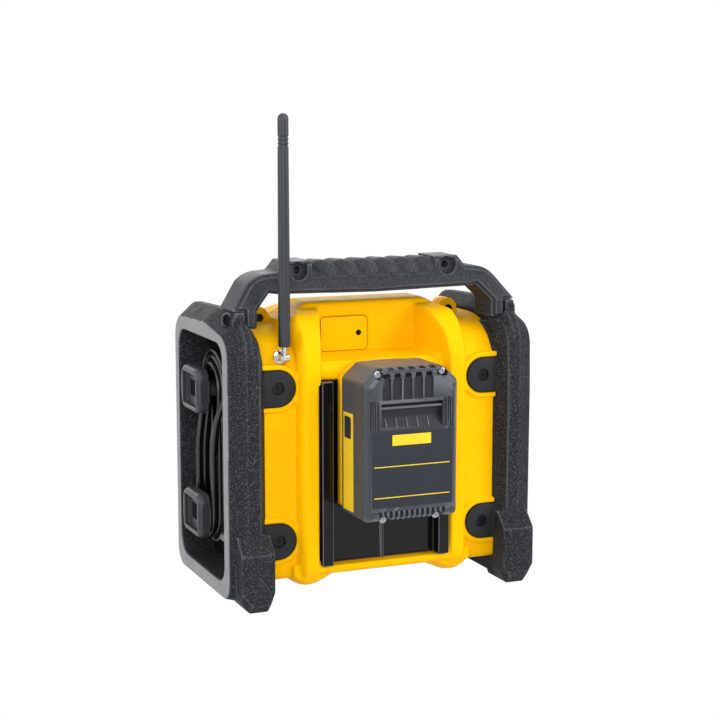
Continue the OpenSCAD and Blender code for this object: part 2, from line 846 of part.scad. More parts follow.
// One half of the handle seen from behind, from the middle out to the leg and back
handle_outline = concat([[0, grip_z], [frame_x - 55.8, grip_z], [frame_x - 49, grip_z - 8.2]],
    arc([frame_x - 41.2, grip_z - 32.9], 24, 84, 37, 8),
    [[frame_x - 9.5, leg_seat_z + 1], [frame_x - 9.5, leg_seat_z], [leg_out_x, leg_seat_z],
    [leg_out_x, shoulder_z + seat_fit], [leg_in_x, shoulder_z + seat_fit], [leg_in_x, shoulder_z + 14],
    [half_w - 14, grip_z - grip_h + 1], [half_w - 20, grip_z - grip_h], [0, grip_z - grip_h - 1.5]]);

// The handle's depth, seen from the end: the legs lean back below the grip
module handle_depth(inset) {
    along_x(-frame_x, frame_x) polygon([[handle_front_y + inset, grip_z + 1], [handle_y - inset, grip_z + 1],
        [handle_y - inset, lean_z], [leg_back_y - inset, leg_seat_z], [leg_back_y - inset, shoulder_z],
        [leg_front_y + inset, shoulder_z], [leg_front_y + inset, leg_seat_z], [handle_front_y + inset, lean_z]]);
}

module handle() {
    placed(black) difference() {
        union() {
            intersection() {
                both_ends() along_y(handle_front_y, leg_back_y) polygon(handle_outline);
                handle_depth(3);
            }
            intersection() {
                both_ends() along_y(handle_front_y, leg_back_y) offset(delta = -2.5)
                    polygon(concat([[-6, grip_z]], handle_outline, [[-6, grip_z - grip_h - 1.5]]));
                handle_depth(0);
            }
        }
        for (x = [-2.5:2.5]) rod_y(x * groove_pitch, grip_z + 2, 4, handle_front_y - 1, handle_y + 1);
        both_ends() {
            rod_y(eye_x, eye_z, eye_r, handle_front_y - 1, handle_y + 1);
            rod_y(eye_x, eye_z, eye_r + 3.5, handle_y - 5, handle_y + 1);
            along_fixing() translate([0, 0, -25]) cylinder(h = 30, r = screw_r + screw_fit);
        }
    }
}

// ---- battery bay ----

module bay_liner() {
    placed(black) difference() {
        union() {
            box([-bay_x, bay_floor_y - liner_wall, bay_z], [bay_x, bay_floor_y, bay_top_z]);
            both_ends() box([bay_x - ledge_w, bay_floor_y - liner_wall, bay_z], [bay_x, ledge_y, bay_top_z]);
            box([-1, bay_floor_y - eps, bay_z], [1, bay_floor_y + 1.6, pack_z + 7]);
            both_ends() {
                box([rail_x, bay_floor_y - eps, rail_z0], [rail_x + 2.4, pack_y + 5.6, rail_z1]);
                box([rail_x, pack_y + 3.2, rail_z0], [rail_x + 5, pack_y + 5.6, rail_z1]);
            }
        }
        both_ends() box([bay_x - ledge_w + 2, bay_floor_y - liner_wall - 1, bay_z + 2],
            [bay_x - 2, ledge_y - 2, bay_top_z - 2]);
        box([-latch_w / 2 - 1, bay_floor_y - 1, pack_top_z - 34], [latch_w / 2 + 1, ledge_y, bay_top_z + 1]);
    }
}

module bay_terminal_block() {
    placed(dark_grey) difference() {
        box([-16, bay_floor_y, pack_z + 8], [16, pack_y + 5, pack_z + 20]);
        for (x = [-10.5:7:10.5]) box([x - 0.6, bay_floor_y + 1, pack_z + 15], [x + 0.6, pack_y + 6, pack_z + 21]);
    }
}

module bay_terminal_blades() {
    placed(steel) for (x = [-10.5:7:10.5])
        box([x - 0.4, bay_floor_y + 1.2, pack_z + 15.2], [x + 0.4, pack_y + 4.6, pack_z + 32]);
}

// ---- battery pack ----

// Pack outline seen from behind, with cut corners at the top
module pack_outline(inset) {
    w = pack_w / 2 - inset;
    polygon([[-w, pack_z + inset + 5], [-w + 5, pack_z + inset], [w - 5, pack_z + inset], [w, pack_z + inset + 5],
        [w, pack_top_z - inset - pack_corner - 4], [w - pack_corner - 4, pack_top_z - inset],
        [-w + pack_corner + 4, pack_top_z - inset], [-w, pack_top_z - inset - pack_corner - 4]]);
}

// The latch's way through the inner shell
module latch_way(fit) {
    box([-latch_w / 2 - fit, pack_y - 1, pack_top_z - latch_h - fit],
        [latch_w / 2 + fit, cover_y + 4 + latch_travel + fit, pack_top_z + 3]);
}

module pack_base() {
    placed(yellow) difference() {
        along_y(pack_y, cover_y) pack_outline(0);
        along_y(pack_y + 6.8, cover_y + 1) pack_outline(pack_wall);
        both_ends() {
            box([rail_x - 0.5, pack_y - 1, pack_z - 1], [rail_x + 2.9, pack_y + 6, rail_z1 + 2]);
            box([rail_x - 0.5, pack_y + 2.7, pack_z - 1], [rail_x + 5.5, pack_y + 6, rail_z1 + 2]);
        }
        box([-17, pack_y - 1, pack_z - 1], [17, pack_y + 5.6, pack_z + 36]);
        latch_way(seat_fit);
    }
}

module pack_cover() {
    placed(black) difference() {
        hull() {
            along_y(cover_y, pack_back_y - 3) pack_outline(0);
            along_y(pack_back_y - slice, pack_back_y) pack_outline(3);
        }
        hull() {
            along_y(cover_y - 1, pack_back_y - 6) pack_outline(pack_wall);
            along_y(pack_back_y - pack_wall - 1, pack_back_y - pack_wall) pack_outline(3 + pack_wall);
        }
        latch_way(seat_fit);
        grip_pocket();
        for (x = [-22.5:9:22.5]) box([x - 1.5, pack_back_y - 1.2, grip_pocket_z + grip_pocket_h + 2],
            [x + 1.5, pack_back_y + 1, pack_top_z]);
        pack_screw_places() {
            cylinder(h = 12, r = 1.6 + screw_fit, center = true);
            cylinder(h = 9, r = 2.9);
        }
    }
    placed(black) difference() {
        box([-grip_w / 2 - 2, pack_back_y - grip_d - 2, grip_pocket_z - 2],
            [grip_w / 2 + 2, pack_back_y - pack_wall + eps, grip_pocket_z + grip_pocket_h + 2]);
        grip_pocket();
    }
}

// Finger recess in the pack's back
module grip_pocket() {
    box([-grip_w / 2, pack_back_y - grip_d, grip_pocket_z],
        [grip_w / 2, pack_back_y + 1, grip_pocket_z + grip_pocket_h]);
}

// The four screws' seats in the corners of the pack's outer shell
module pack_screw_places() {
    for (x = [-1, 1] * (pack_w / 2 - 12.5), z = [pack_z + 6.5, pack_top_z - 8])
        translate([x, pack_back_y - 7, z]) rotate([-90, 0, 0]) children();
}

module pack_screws() {
    placed(steel) pack_screw_places() screw(1.6, 2.7, 1.8, 5);
}

// Thumb button and latch tongue in one piece
module pack_release() {
    placed(dark_grey) {
        box([-latch_w / 2, pack_y - 0.6, pack_top_z - latch_h], [latch_w / 2, cover_y + 4, pack_top_z - 1]);
        box([-latch_w / 2 + 3, pack_y - 1.8, pack_top_z - latch_h], [latch_w / 2 - 3, pack_y, pack_top_z - 7]);
    }
}

module cell_places() {
    for (row = [0, 1], i = [0:4]) translate([0, cell_y + row * cell_pitch, cell_z + i * cell_pitch]) children();
}

module pack_cells() {
    placed([0.25, 0.45, 0.6]) cell_places() rod_x(0, 0, cell_r, -cell_l / 2, cell_l / 2);
}

module pack_cell_holders() {
    placed(dark_grey) both_ends() difference() {
        box([cell_l / 2 - 4, cell_y - 7.5, cell_z - 7.4],
            [holder_x, cell_y + cell_pitch + 7.5, cell_z + 4 * cell_pitch + 7.4]);
        cell_places() rod_x(0, 0, cell_r + 0.1, 0, cell_l / 2 + 0.1);
    }
}

module pack_board() {
    placed(board_green) box([-28, pack_y + 7.1, pack_z + 22], [28, pack_y + 7.1 + board_t, pack_top_z - 30]);
}

module pack_terminals() {
    placed(steel) for (x = [-10.5:7:10.5]) difference() {
        box([x - 1.8, pack_y + 0.8, pack_z + 22], [x + 1.8, pack_y + 5.6, pack_z + 36]);
        box([x - 0.8, pack_y, pack_z + 21], [x + 0.8, pack_y + 6, pack_z + 35]);
    }
}

// ---- memory door ----

module memory_pocket() {
    rounded_plate(door_x - seat_fit, door_x + door_w + seat_fit, door_z - seat_fit, door_z + door_h + seat_fit,
        recess_y - door_t - 0.1, recess_y + 1, 3);
    rod_y(door_x + 24, door_z + door_h / 2, 10.6, recess_y - 8, recess_y);
    rod_y(door_screw_x, door_z + door_h / 2, 1.2 + screw_fit, recess_y - 8, recess_y);
}

// Solid behind the recess face that the door and the memory cell sit in
module memory_well() {
    box([door_x - 2, recess_y - 9, door_z - 2], [door_x + door_w + 2, recess_y - wall + eps, door_z + door_h - 1]);
}

module memory_door() {
    placed(yellow) difference() {
        rounded_plate(door_x, door_x + door_w, door_z, door_z + door_h, recess_y - door_t, recess_y, 3);
        rod_y(door_screw_x, door_z + door_h / 2, 1.2 + screw_fit, 0, recess_y + 1);
        rod_y(door_screw_x, door_z + door_h / 2, 2.4, recess_y - 1, recess_y + 1);
    }
}

module memory_door_screw() {
    placed(steel) translate([door_screw_x, recess_y - 1, door_z + door_h / 2]) rotate([-90, 0, 0])
        screw(1.2, 2.1, 0.9, 6);
}

module memory_cell() {
    placed(steel) rod_y(door_x + 24, door_z + door_h / 2, 10, recess_y - 6.3, recess_y - 3.1);
}

module memory_cell_holder() {
    placed(dark_grey) difference() {
        rod_y(door_x + 24, door_z + door_h / 2, 10.5, recess_y - 8, recess_y - 3.6);
        rod_y(door_x + 24, door_z + door_h / 2, 10.1, recess_y - 6.4, recess_y);
    }
}

// ---- antenna ----

module antenna_socket() {
    placed(steel) difference() {
        union() {
            rod_y(antenna_x, antenna_z, socket_r, socket_y - 1, socket_y + 1.8);
            rod_y(antenna_x, antenna_z, socket_r - 1.4, socket_y - wall - 1, socket_y);
        }
        rod_y(antenna_x, antenna_z, 3.05, socket_y - wall - 2, socket_y + 3);
    }
}

// Turning knuckle with a fork for the stem's eye
module antenna_swivel() {
    placed(steel) difference() {
        union() {
            rod_y(antenna_x, antenna_z, 3, socket_y - wall - 3, socket_y + 3);
            rod_y(antenna_x, antenna_z, 4.4, socket_y + 2.1, socket_y + 4.6);
            rod_y(antenna_x, antenna_z, 4.4, socket_y - wall - 3.4, socket_y - wall - 1.3);
            for (x = [antenna_x - 3.4, antenna_x + 2]) {
                box([x, socket_y + 4, antenna_z - 2.6], [x + 1.4, antenna_y, antenna_z + 2.6]);
                rod_x(antenna_y, antenna_z, 2.6, x, x + 1.4);
            }
        }
        rod_x(antenna_y, antenna_z, 1.2, antenna_x - 5, antenna_x + 5);
    }
}

module antenna_pin() {
    placed(steel) rod_x(antenna_y, antenna_z, 1.15, antenna_x - 3.6, antenna_x + 3.6);
}

module antenna_stem() {
    placed(steel) difference() {
        union() {
            rod_x(antenna_y, antenna_z, 2.7, antenna_x - 1.7, antenna_x + 1.7);
            translate([antenna_x, antenna_y, antenna_z]) cylinder(h = stem_l + 12, r = stem_r);
        }
        rod_x(antenna_y, antenna_z, 1.2, antenna_x - 5, antenna_x + 5);
    }
}

module antenna_rod() {
    foot_z = antenna_z + stem_l - 1;
    placed(dark_grey) translate([antenna_x, antenna_y, foot_z]) difference() {
        rotate_extrude() polygon(concat([[0, 0], [rod_r - 0.6, 0], [rod_r, 0.8]],
            [for (i = [0:2]) each [[rod_tip_r, rod_l - 25 + i * 3], [rod_tip_r - 0.5, rod_l - 24.3 + i * 3],
                [rod_tip_r - 0.5, rod_l - 23.4 + i * 3], [rod_tip_r, rod_l - 22.7 + i * 3]]],
            arc([0, rod_l - rod_tip_r], rod_tip_r, 0, 90)));
        translate([0, 0, -1]) cylinder(h = 14.5, r = stem_r);
    }
}

// ---- cleats and mains lead ----

module stadium(y, z, w, r) {
    translate([y - w / 2, z - r]) square([w, 2 * r]);
    for (end = [-1, 1]) translate([y + end * w / 2, z]) circle(r);
}

// Winding outline: a band of the given width around both cleat posts
module winding_band(r) {
    translate([-cleat_y - r, cleat_zs[0]]) square([2 * r, cleat_pitch]);
    for (z = cleat_zs) translate([-cleat_y, z]) circle(r);
}

module cleats() {
    placed(dark_grey) for (z = cleat_zs) difference() {
        union() {
            along_x(floor_x + 0.05, cleat_x - 2) stadium(-cleat_y, z, post_w - 2 * post_r + 5, post_r);
            hull() {
                along_x(cleat_x - cleat_t, cleat_x - 3) cleat_outline(z, 0, cleat_r);
                along_x(cleat_x - slice, cleat_x) cleat_outline(z, 2, cleat_r - 1);
            }
        }
        along_x(cleat_x - 3.5, cleat_x + 1) translate([-cleat_y - cleat_w / 2 + cleat_rim, z - cleat_h / 2 + cleat_rim])
            square([cleat_w - 2 * cleat_rim, cleat_h - 2 * cleat_rim]);
        along_x(cleat_x - cleat_t + 2, cleat_x) translate([-cleat_y + 1, z - 6])
            square([15.5, 12]);
    }
}

module cleat_outline(z, inset, r) {
    translate([-cleat_y - cleat_w / 2 + inset, z - cleat_h / 2 + inset + r])
        square([cleat_w - 2 * inset, cleat_h - 2 * inset - 2 * r]);
    translate([-cleat_y - cleat_w / 2 + inset + r, z - cleat_h / 2 + inset])
        square([cleat_w - 2 * inset - 2 * r, cleat_h - 2 * inset]);
}

module strain_relief() {
    placed(dark_grey) translate([gland_x, gland_y, 0]) difference() {
        union() {
            translate([0, 0, opening_z1 - gland_l]) cylinder(h = gland_l - 5, r1 = lead_d / 2 + 0.9, r2 = 4.6);
            translate([0, 0, opening_z1 - 6]) cylinder(h = 4, r = 6.5);
        }
        translate([0, 0, opening_z1 - gland_l - 1]) cylinder(h = gland_l + 6, r = lead_d / 2);
    }
}

module lead_winding() {
    placed(dark_grey) along_x(floor_x + 0.3, winding_x1) difference() {
        winding_band(winding_r + winding_t);
        winding_band(winding_r);
    }
}

// Tube of the lead along a route: rings square to the route, joined by quads
module lead_tube(route) {
    sides = 8;
    last = len(route) - 1;
    rings = [for (i = [0:last]) let (
            along = route[min(i + 1, last)] - route[max(i - 1, 0)],
            w = along / norm(along),
            u = cross([1, 0, 0], w) / norm(cross([1, 0, 0], w)),
            v = cross(w, u))
        [for (k = [0:sides - 1]) route[i] + lead_d / 2 * (u * cos(360 * k / sides) + v * sin(360 * k / sides))]];
    polyhedron(points = [for (ring = rings) each ring],
        faces = concat([[for (k = [0:sides - 1]) k]],
            [for (i = [0:last - 1], k = [0:sides - 1]) let (n = (k + 1) % sides)
                [i * sides + k, (i + 1) * sides + k, (i + 1) * sides + n, i * sides + n]],
            [[for (k = [sides - 1:-1:0]) last * sides + k]]));
}

module lead_feed() { placed(dark_grey) lead_tube(feed_points); }

module lead_tail() { placed(dark_grey) lead_tube(tail_points); }

// Flat two-pin plug, standing on its pins in the corner of the recess
module plug_body() {
    body_z = plug_z + plug_pin_l;
    placed(dark_grey) {
        hull() {
            box([plug_x - 5.8, plug_y - 16.5, body_z], [plug_x + 5.8, plug_y + 16.5, body_z + 16]);
            box([plug_x - 5, plug_y - 9, body_z], [plug_x + 5, plug_y + 9, body_z + plug_l - 8]);
        }
        translate([plug_x, plug_y, body_z + 10]) cylinder(h = 42.5 - 10, r1 = 5, r2 = lead_d / 2 + 0.6);
    }
}

module plug_pins() {
    placed(steel) for (y = [-9.5, 9.5]) translate([plug_x, plug_y + y, plug_z]) cylinder(h = plug_pin_l, r = 2);
}

// ---- front ----

module speaker_grilles() {
    placed(black) both_ends() difference() {
        rod_y(speaker_x, speaker_z, grille_r, front_face - 1.2, front_face + 1.9);
        rod_y(speaker_x, speaker_z, grille_r - 4, front_face + 0.5, front_face + 3);
        for (i = [-4:4]) let (w = 2 * sqrt(pow(grille_r - 5, 2) - pow(i * 6.5, 2)) - 2)
            box([speaker_x - w / 2, front_face - 2, speaker_z + i * 6.5 - 1.4],
                [speaker_x + w / 2, front_face + 3, speaker_z + i * 6.5 + 1.4]);
    }
}

module speaker_baskets() {
    seat = front_face + wall + 1.6;
    placed(dark_grey) both_ends() translate([speaker_x, seat, speaker_z]) rotate([-90, 0, 0]) difference() {
        union() {
            cylinder(h = 2, r = basket_r);
            translate([0, 0, 2 - eps]) cylinder(h = 14, r1 = basket_r - 2, r2 = 16);
        }
        translate([0, 0, -eps]) cylinder(h = 2 + eps, r = basket_r - 3);
        translate([0, 0, 2 - 2 * eps]) cylinder(h = 14.1, r1 = basket_r - 4, r2 = 14);
    }
}

module speaker_cones() {
    seat = front_face + wall + 1.8;
    placed(black) both_ends() translate([speaker_x, seat, speaker_z]) rotate([-90, 0, 0]) rotate_extrude()
        polygon([[0, 10], [7, 7], [8, 10], [basket_r - 8, 0.2], [basket_r - 3.1, 0.2], [basket_r - 3.1, 1],
            [basket_r - 7, 1.4], [9, 12], [0, 12]]);
}

module speaker_magnets() {
    seat = front_face + wall + 1.6 + 14;
    placed(steel) both_ends() {
        rod_y(speaker_x, speaker_z, 20, seat + 2.1, seat + 14);
        rod_y(speaker_x, speaker_z, 13.9, seat + 0.2, seat + 2.2);
    }
}

module control_panel() {
    placed(black) difference() {
        rounded_plate(-panel_w / 2, panel_w / 2, panel_top_z - panel_h, panel_top_z, panel_face, front_face, 6);
        rounded_plate(-window_w / 2 - seat_fit, window_w / 2 + seat_fit, window_z - window_h / 2 - seat_fit,
            window_z + window_h / 2 + seat_fit, panel_face - 1, front_face + 1, 2);
        both_ends() rod_y(knob_x, knob_z, 4.2, panel_face - 1, front_face + 1);
        for (i = [-2:2]) box([i * key_pitch - key_w / 2 - seat_fit, panel_face - 1, key_z - key_h / 2 - seat_fit],
            [i * key_pitch + key_w / 2 + seat_fit, front_face + 1, key_z + key_h / 2 + seat_fit]);
    }
}

module display_window() {
    placed([0.35, 0.4, 0.4]) rounded_plate(-window_w / 2, window_w / 2, window_z - window_h / 2,
        window_z + window_h / 2, panel_face + 0.4, panel_face + 2.4, 1.7);
}

module display_module() {
    placed([0.5, 0.6, 0.5]) box([-window_w / 2 + 1, panel_face + 2.5, window_z - window_h / 2 + 1],
        [window_w / 2 - 1, board_face, window_z + window_h / 2 - 1]);
}

module main_board() {
    placed(board_green) difference() {
        box([-board_x, board_face, panel_top_z - panel_h - 0.5], [board_x, board_face + board_t,
            panel_top_z - 1]);
        both_ends() rod_y(knob_x, knob_z, shaft_r + 0.3, board_face - 1, board_face + 3);
    }
}

module encoders() {
    placed(steel) both_ends() difference() {
        box([knob_x - 6, front_face + 1.6, knob_z - 6], [knob_x + 6, board_face, knob_z + 6]);
        rod_y(knob_x, knob_z, shaft_r + 0.05, front_face - 5, board_face + 1);
    }
}

module knob(side) {
    x = side * knob_x;
    y0 = panel_face - knob_gap;
    placed(black) difference() {
        union() {
            rod_y(x, knob_z, knob_r, y0 - 3, y0);
            rod_y(x, knob_z, knob_r - 1.5, y0 - knob_l, y0);
        }
        rod_y(x, knob_z, shaft_r + 0.05, y0 - knob_l + 3, y0 + 1);
        for (i = [0:11]) translate([x, 0, knob_z]) rotate([0, i * 30, 0])
            rod_y(knob_r, 0, 1.6, y0 - knob_l - 1, y0 - 3);
        box([x - 0.7, y0 - knob_l - 1, knob_z + 4], [x + 0.7, y0 - knob_l + 0.8, knob_z + knob_r - 3]);
    }
}

module shaft(side) {
    placed(steel) rod_y(side * knob_x, knob_z, shaft_r, panel_face - knob_gap - knob_l + 3.2, board_face - 0.5);
}

module volume_knob() { knob(1); }

module tuning_knob() { knob(-1); }

module volume_shaft() { shaft(1); }

module tuning_shaft() { shaft(-1); }

// A key with a collar that keeps it behind the panel
module key(i) {
    x = i * key_pitch;
    placed(dark_grey) {
        box([x - key_w / 2, panel_face - 1.8, key_z - key_h / 2], [x + key_w / 2, front_face + 0.5, key_z + key_h / 2]);
        box([x - key_w / 2 - 1.2, front_face + 0.3, key_z - key_h / 2 - 1.2],
            [x + key_w / 2 + 1.2, front_face + 1.6, key_z + key_h / 2 + 1.2]);
    }
}

module key_power() { key(-2); }

module key_mode() { key(-1); }

module key_down() { key(0); }

module key_up() { key(1); }

module key_memory() { key(2); }

module key_switches() {
    placed(steel) for (i = [-2:2])
        box([i * key_pitch - 3, front_face + 1.6 + key_travel + 0.3, key_z - 3],
            [i * key_pitch + 3, board_face, key_z + 3]);
}

// ---- mains supply inside ----

// Windows of the core that the coil passes through, made smaller by a fit
module core_windows(fit) {
    for (x = [-core_w / 2 + core_leg, core_w / 2 - core_leg - coil_w])
        box([x + fit, core_y - coil_d - 1, core_z + core_leg + fit],
            [x + coil_w - fit, core_y + core_d + coil_d + 1, core_z + core_h - core_leg - fit]);
}

module transformer_core() {
    placed(steel) difference() {
        box([-core_w / 2, core_y, core_z], [core_w / 2, core_y + core_d, core_z + core_h]);
        core_windows(0);
    }
}

module transformer_coil() {
    placed([0.75, 0.45, 0.2]) difference() {
        box([-core_w / 2 + core_leg + coil_fit, core_y - coil_d, core_z + core_leg + coil_fit],
            [core_w / 2 - core_leg - coil_fit, core_y + core_d + coil_d, core_z + core_h - core_leg - coil_fit]);
        box([-core_w / 2 + core_leg + coil_w - coil_fit, core_y - coil_fit, core_z],
            [core_w / 2 - core_leg - coil_w + coil_fit, core_y + core_d + coil_fit, core_z + core_h]);
    }
}

front_case();
rear_case();
end_frame_left();
end_frame_right();
end_panel_left();
end_panel_right();
frame_screws();
lug_screws();
handle();
handle_screws();
bay_liner();
bay_terminal_block();
bay_terminal_blades();
pack_base();
pack_cover();
pack_release();
pack_screws();
pack_cells();
pack_cell_holders();
pack_board();
pack_terminals();
memory_door();
memory_door_screw();
memory_cell();
memory_cell_holder();
antenna_socket();
antenna_swivel();
antenna_pin();
antenna_stem();
antenna_rod();
speaker_grilles();
speaker_baskets();
speaker_cones();
speaker_magnets();
control_panel();
display_window();
display_module();
main_board();
encoders();
volume_knob();
volume_shaft();
tuning_knob();
tuning_shaft();
key_switches();
key_power();
key_mode();
key_down();
key_up();
key_memory();
transformer_core();
transformer_coil();
cleats();
strain_relief();
lead_winding();
lead_feed();
lead_tail();
plug_body();
plug_pins();
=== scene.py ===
# Looks of the jobsite radio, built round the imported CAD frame.
# Lengths are millimetres of the CAD source, before its origin is moved; P() turns them
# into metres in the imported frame.
import math
import bpy
import bmesh
from mathutils import Matrix, Vector


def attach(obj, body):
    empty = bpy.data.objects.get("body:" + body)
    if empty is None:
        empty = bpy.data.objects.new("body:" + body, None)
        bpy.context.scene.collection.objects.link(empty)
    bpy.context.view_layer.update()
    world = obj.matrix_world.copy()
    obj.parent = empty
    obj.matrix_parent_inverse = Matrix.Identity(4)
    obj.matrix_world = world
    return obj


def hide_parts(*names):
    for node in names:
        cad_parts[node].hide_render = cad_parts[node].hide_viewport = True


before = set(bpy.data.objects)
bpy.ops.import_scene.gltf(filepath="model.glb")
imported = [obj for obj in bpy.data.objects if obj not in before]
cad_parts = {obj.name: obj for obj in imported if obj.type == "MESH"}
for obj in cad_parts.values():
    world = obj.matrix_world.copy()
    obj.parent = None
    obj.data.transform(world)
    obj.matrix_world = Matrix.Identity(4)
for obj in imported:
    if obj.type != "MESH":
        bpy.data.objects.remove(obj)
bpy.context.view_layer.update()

# The CAD source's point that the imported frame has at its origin
MID = Vector((1.5, 16.6, 0.0))
# Millimetres in a metre
MM = 1000

# Battery pack: lower and upper end, back face, front of its cover, half its width
PACK_Z = 71.5
PACK_TOP_Z = 188.0
PACK_BACK_Y = 117.8
COVER_Y = 72.3
PACK_HALF = 38.8
# Handle: top, back and front of the grip, its eyes, and the pitch of its finger grooves
GRIP_Z = 264.0
HANDLE_Y = 46.0
HANDLE_FRONT_Y = 9.0
EYE_X = 63.1
EYE_Z = 256.8
GROOVE_PITCH = 17.3
# Screw tabs of the end frames
TAB_X = 87.0
TAB_Y = 62.6
TAB_R = 13.7
TAB_ZS = (49.6, 169.1)
# Memory-cell door and the back wall of the recess that it lies in
DOOR_X = (-1.5, 38.5)
DOOR_Z = (190.0, 217.5)
RECESS_Y = 27.0
# Front face of the casing, and the speakers
FRONT_Y = -62.0
SPEAKER_X = 52.0
SPEAKER_Z = 96.0
# Cleats: outer face, middle in depth, and heights
CLEAT_X = 131.5
CLEAT_Y = -25.0
CLEAT_ZS = (57.5, 158.5)


def P(x, y, z):
    """A point of the CAD source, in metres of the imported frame."""
    return (Vector((x, y, z)) - MID) / MM


# ---- forms --------------------------------------------------------------------

# Steps in a quarter turn of a rounded outline
CORNER_STEPS = 6
# Edges that turn by more than this many degrees are rounded
SHARP = 28
# Radius in millimetres below which a turned profile ends in a tip
TIP = 1e-6
# Metres within which the corners of a CAD mesh are one
SAME = 3e-6


def arc(cx, cy, r, a0, a1, n):
    """Points of an arc between two angles in degrees, in n steps."""
    steps = [math.radians(a0 + (a1 - a0) * i / n) for i in range(n + 1)]
    return [(cx + r * math.cos(a), cy + r * math.sin(a)) for a in steps]


def rounded(x0, x1, y0, y1, r):
    """Outline of a rectangle with rounded corners."""
    n = CORNER_STEPS
    return (arc(x1 - r, y1 - r, r, 0, 90, n) + arc(x0 + r, y1 - r, r, 90, 180, n)
            + arc(x0 + r, y0 + r, r, 180, 270, n) + arc(x1 - r, y0 + r, r, 270, 360, n))


class Form:
    """A mesh that is built up from closed parts, in the CAD source's millimetres."""

    def __init__(self):
        self.bm = bmesh.new()

    def add(self, verts, faces, soft=0.0):
        """A closed part; its sharp edges are rounded by soft millimetres."""
        part = bmesh.new()
        made = [part.verts.new(Vector(v)) for v in verts]
        for f in faces:
            part.faces.new([made[i] for i in f])
        bmesh.ops.recalc_face_normals(part, faces=part.faces)
        if soft:
            sharp = [e for e in part.edges if e.calc_face_angle(0) > math.radians(SHARP)]
            bmesh.ops.bevel(part, geom=sharp, offset=soft, segments=2, profile=0.5,
                            affect="EDGES", clamp_overlap=True)
        return self.take(part)

    def take(self, part):
        """Moves another mesh's faces into the form."""
        mesh = bpy.data.meshes.new("part")
        part.to_mesh(mesh)
        part.free()
        self.bm.from_mesh(mesh)
        bpy.data.meshes.remove(mesh)
        return self

    def prism(self, outline, axis, a, b, soft=0.0):
        """An outline drawn across an axis, from a to b."""
        order = {
            "x": lambda p, t: (t, p[0], p[1]),
            "y": lambda p, t: (p[0], t, p[1]),
            "z": lambda p, t: (p[0], p[1], t),
        }[axis]
        n = len(outline)
        verts = [order(p, t) for t in (a, b) for p in outline]
        faces = [list(range(n)), list(range(2 * n - 1, n - 1, -1))]
        faces += [[i, (i + 1) % n, n + (i + 1) % n, n + i] for i in range(n)]
        return self.add(verts, faces, soft)

    def loft(self, rings):
        """A skin over rings of points, closed at both ends."""
        n = len(rings[0])
        verts = [v for ring in rings for v in ring]
        faces = [list(range(n)), list(range(len(verts) - n, len(verts)))]
        for i in range(len(rings) - 1):
            for k in range(n):
                m = (k + 1) % n
                faces.append([i * n + k, i * n + m, (i + 1) * n + m, (i + 1) * n + k])
        return self.add(verts, faces)

    def box(self, lo, hi, soft=0.0):
        """A box between two corners."""
        base = [(lo[0], lo[1]), (hi[0], lo[1]), (hi[0], hi[1]), (lo[0], hi[1])]
        return self.prism(base, "z", lo[2], hi[2], soft)

    def lathe(self, centre, axis, profile, sides):
        """A profile of (radius, distance) turned round an axis through centre."""
        way = Vector(axis).normalized()
        turn = Vector((0, 0, 1)).rotation_difference(way).to_matrix()
        verts = []
        rings = []
        faces = []
        for r, h in profile:
            if r < TIP:
                rings.append([len(verts)])
                verts.append(Vector(centre) + way * h)
            else:
                rings.append(list(range(len(verts), len(verts) + sides)))
                for k in range(sides):
                    a = 2 * math.pi * k / sides
                    spoke = Vector((r * math.cos(a), r * math.sin(a), h))
                    verts.append(Vector(centre) + turn @ spoke)
        for low, high in zip(rings, rings[1:]):
            for k in range(sides):
                n = (k + 1) % sides
                corners = [low[k % len(low)], low[n % len(low)], high[n % len(high)], high[k % len(high)]]
                # At a tip two corners are the same
                face = list(dict.fromkeys(corners))
                if len(face) > 2:
                    faces.append(face)
        for ring in (rings[0], rings[-1]):
            if len(ring) > 1:
                faces.append(ring)
        return self.add(verts, faces)

    def rod(self, a, b, r, soft=0.0, sides=32):
        """A round rod between two points, its ends rounded off by soft."""
        a = Vector(a)
        b = Vector(b)
        length = (b - a).length
        profile = [(r, 0), (r, length)]
        if soft:
            turns = [t * math.pi / 8 for t in range(5)]
            bend = [(r - soft + soft * math.sin(t), soft * (1 - math.cos(t))) for t in turns]
            profile = bend + [(radius, length - h) for radius, h in reversed(bend)]
        return self.lathe(a, b - a, profile, sides)

    def capsule(self, a, b, r):
        """A round rod with a half ball about each of its end points."""
        over = (Vector(b) - Vector(a)).normalized() * r
        return self.rod(Vector(a) - over, Vector(b) + over, r, soft=r, sides=40)

    def cad(self, name, flat=1.5):
        """A CAD node as it lies, with faces joined that turn by less than flat degrees."""
        part = bmesh.new()
        part.from_mesh(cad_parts[name].data)
        bmesh.ops.remove_doubles(part, verts=part.verts, dist=SAME)
        if flat:
            bmesh.ops.dissolve_limit(part, angle_limit=math.radians(flat), verts=part.verts,
                                     edges=part.edges)
        to_source = Matrix.Translation(MID) @ Matrix.Scale(MM, 4)
        bmesh.ops.transform(part, matrix=to_source, verts=part.verts)
        return self.take(part)

    def mirrored(self):
        """The form and its mirror image on the other side of X = 0."""
        twin = self.bm.copy()
        bmesh.ops.scale(twin, vec=(-1, 1, 1), verts=twin.verts)
        bmesh.ops.reverse_faces(twin, faces=twin.faces)
        return self.take(twin)

    def loose(self, name="form"):
        """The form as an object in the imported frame."""
        to_frame = Matrix.Scale(1 / MM, 4) @ Matrix.Translation(-MID)
        bmesh.ops.transform(self.bm, matrix=to_frame, verts=self.bm.verts)
        mesh = bpy.data.meshes.new(name)
        self.bm.to_mesh(mesh)
        self.bm.free()
        obj = bpy.data.objects.new(name, mesh)
        bpy.context.scene.collection.objects.link(obj)
        return obj


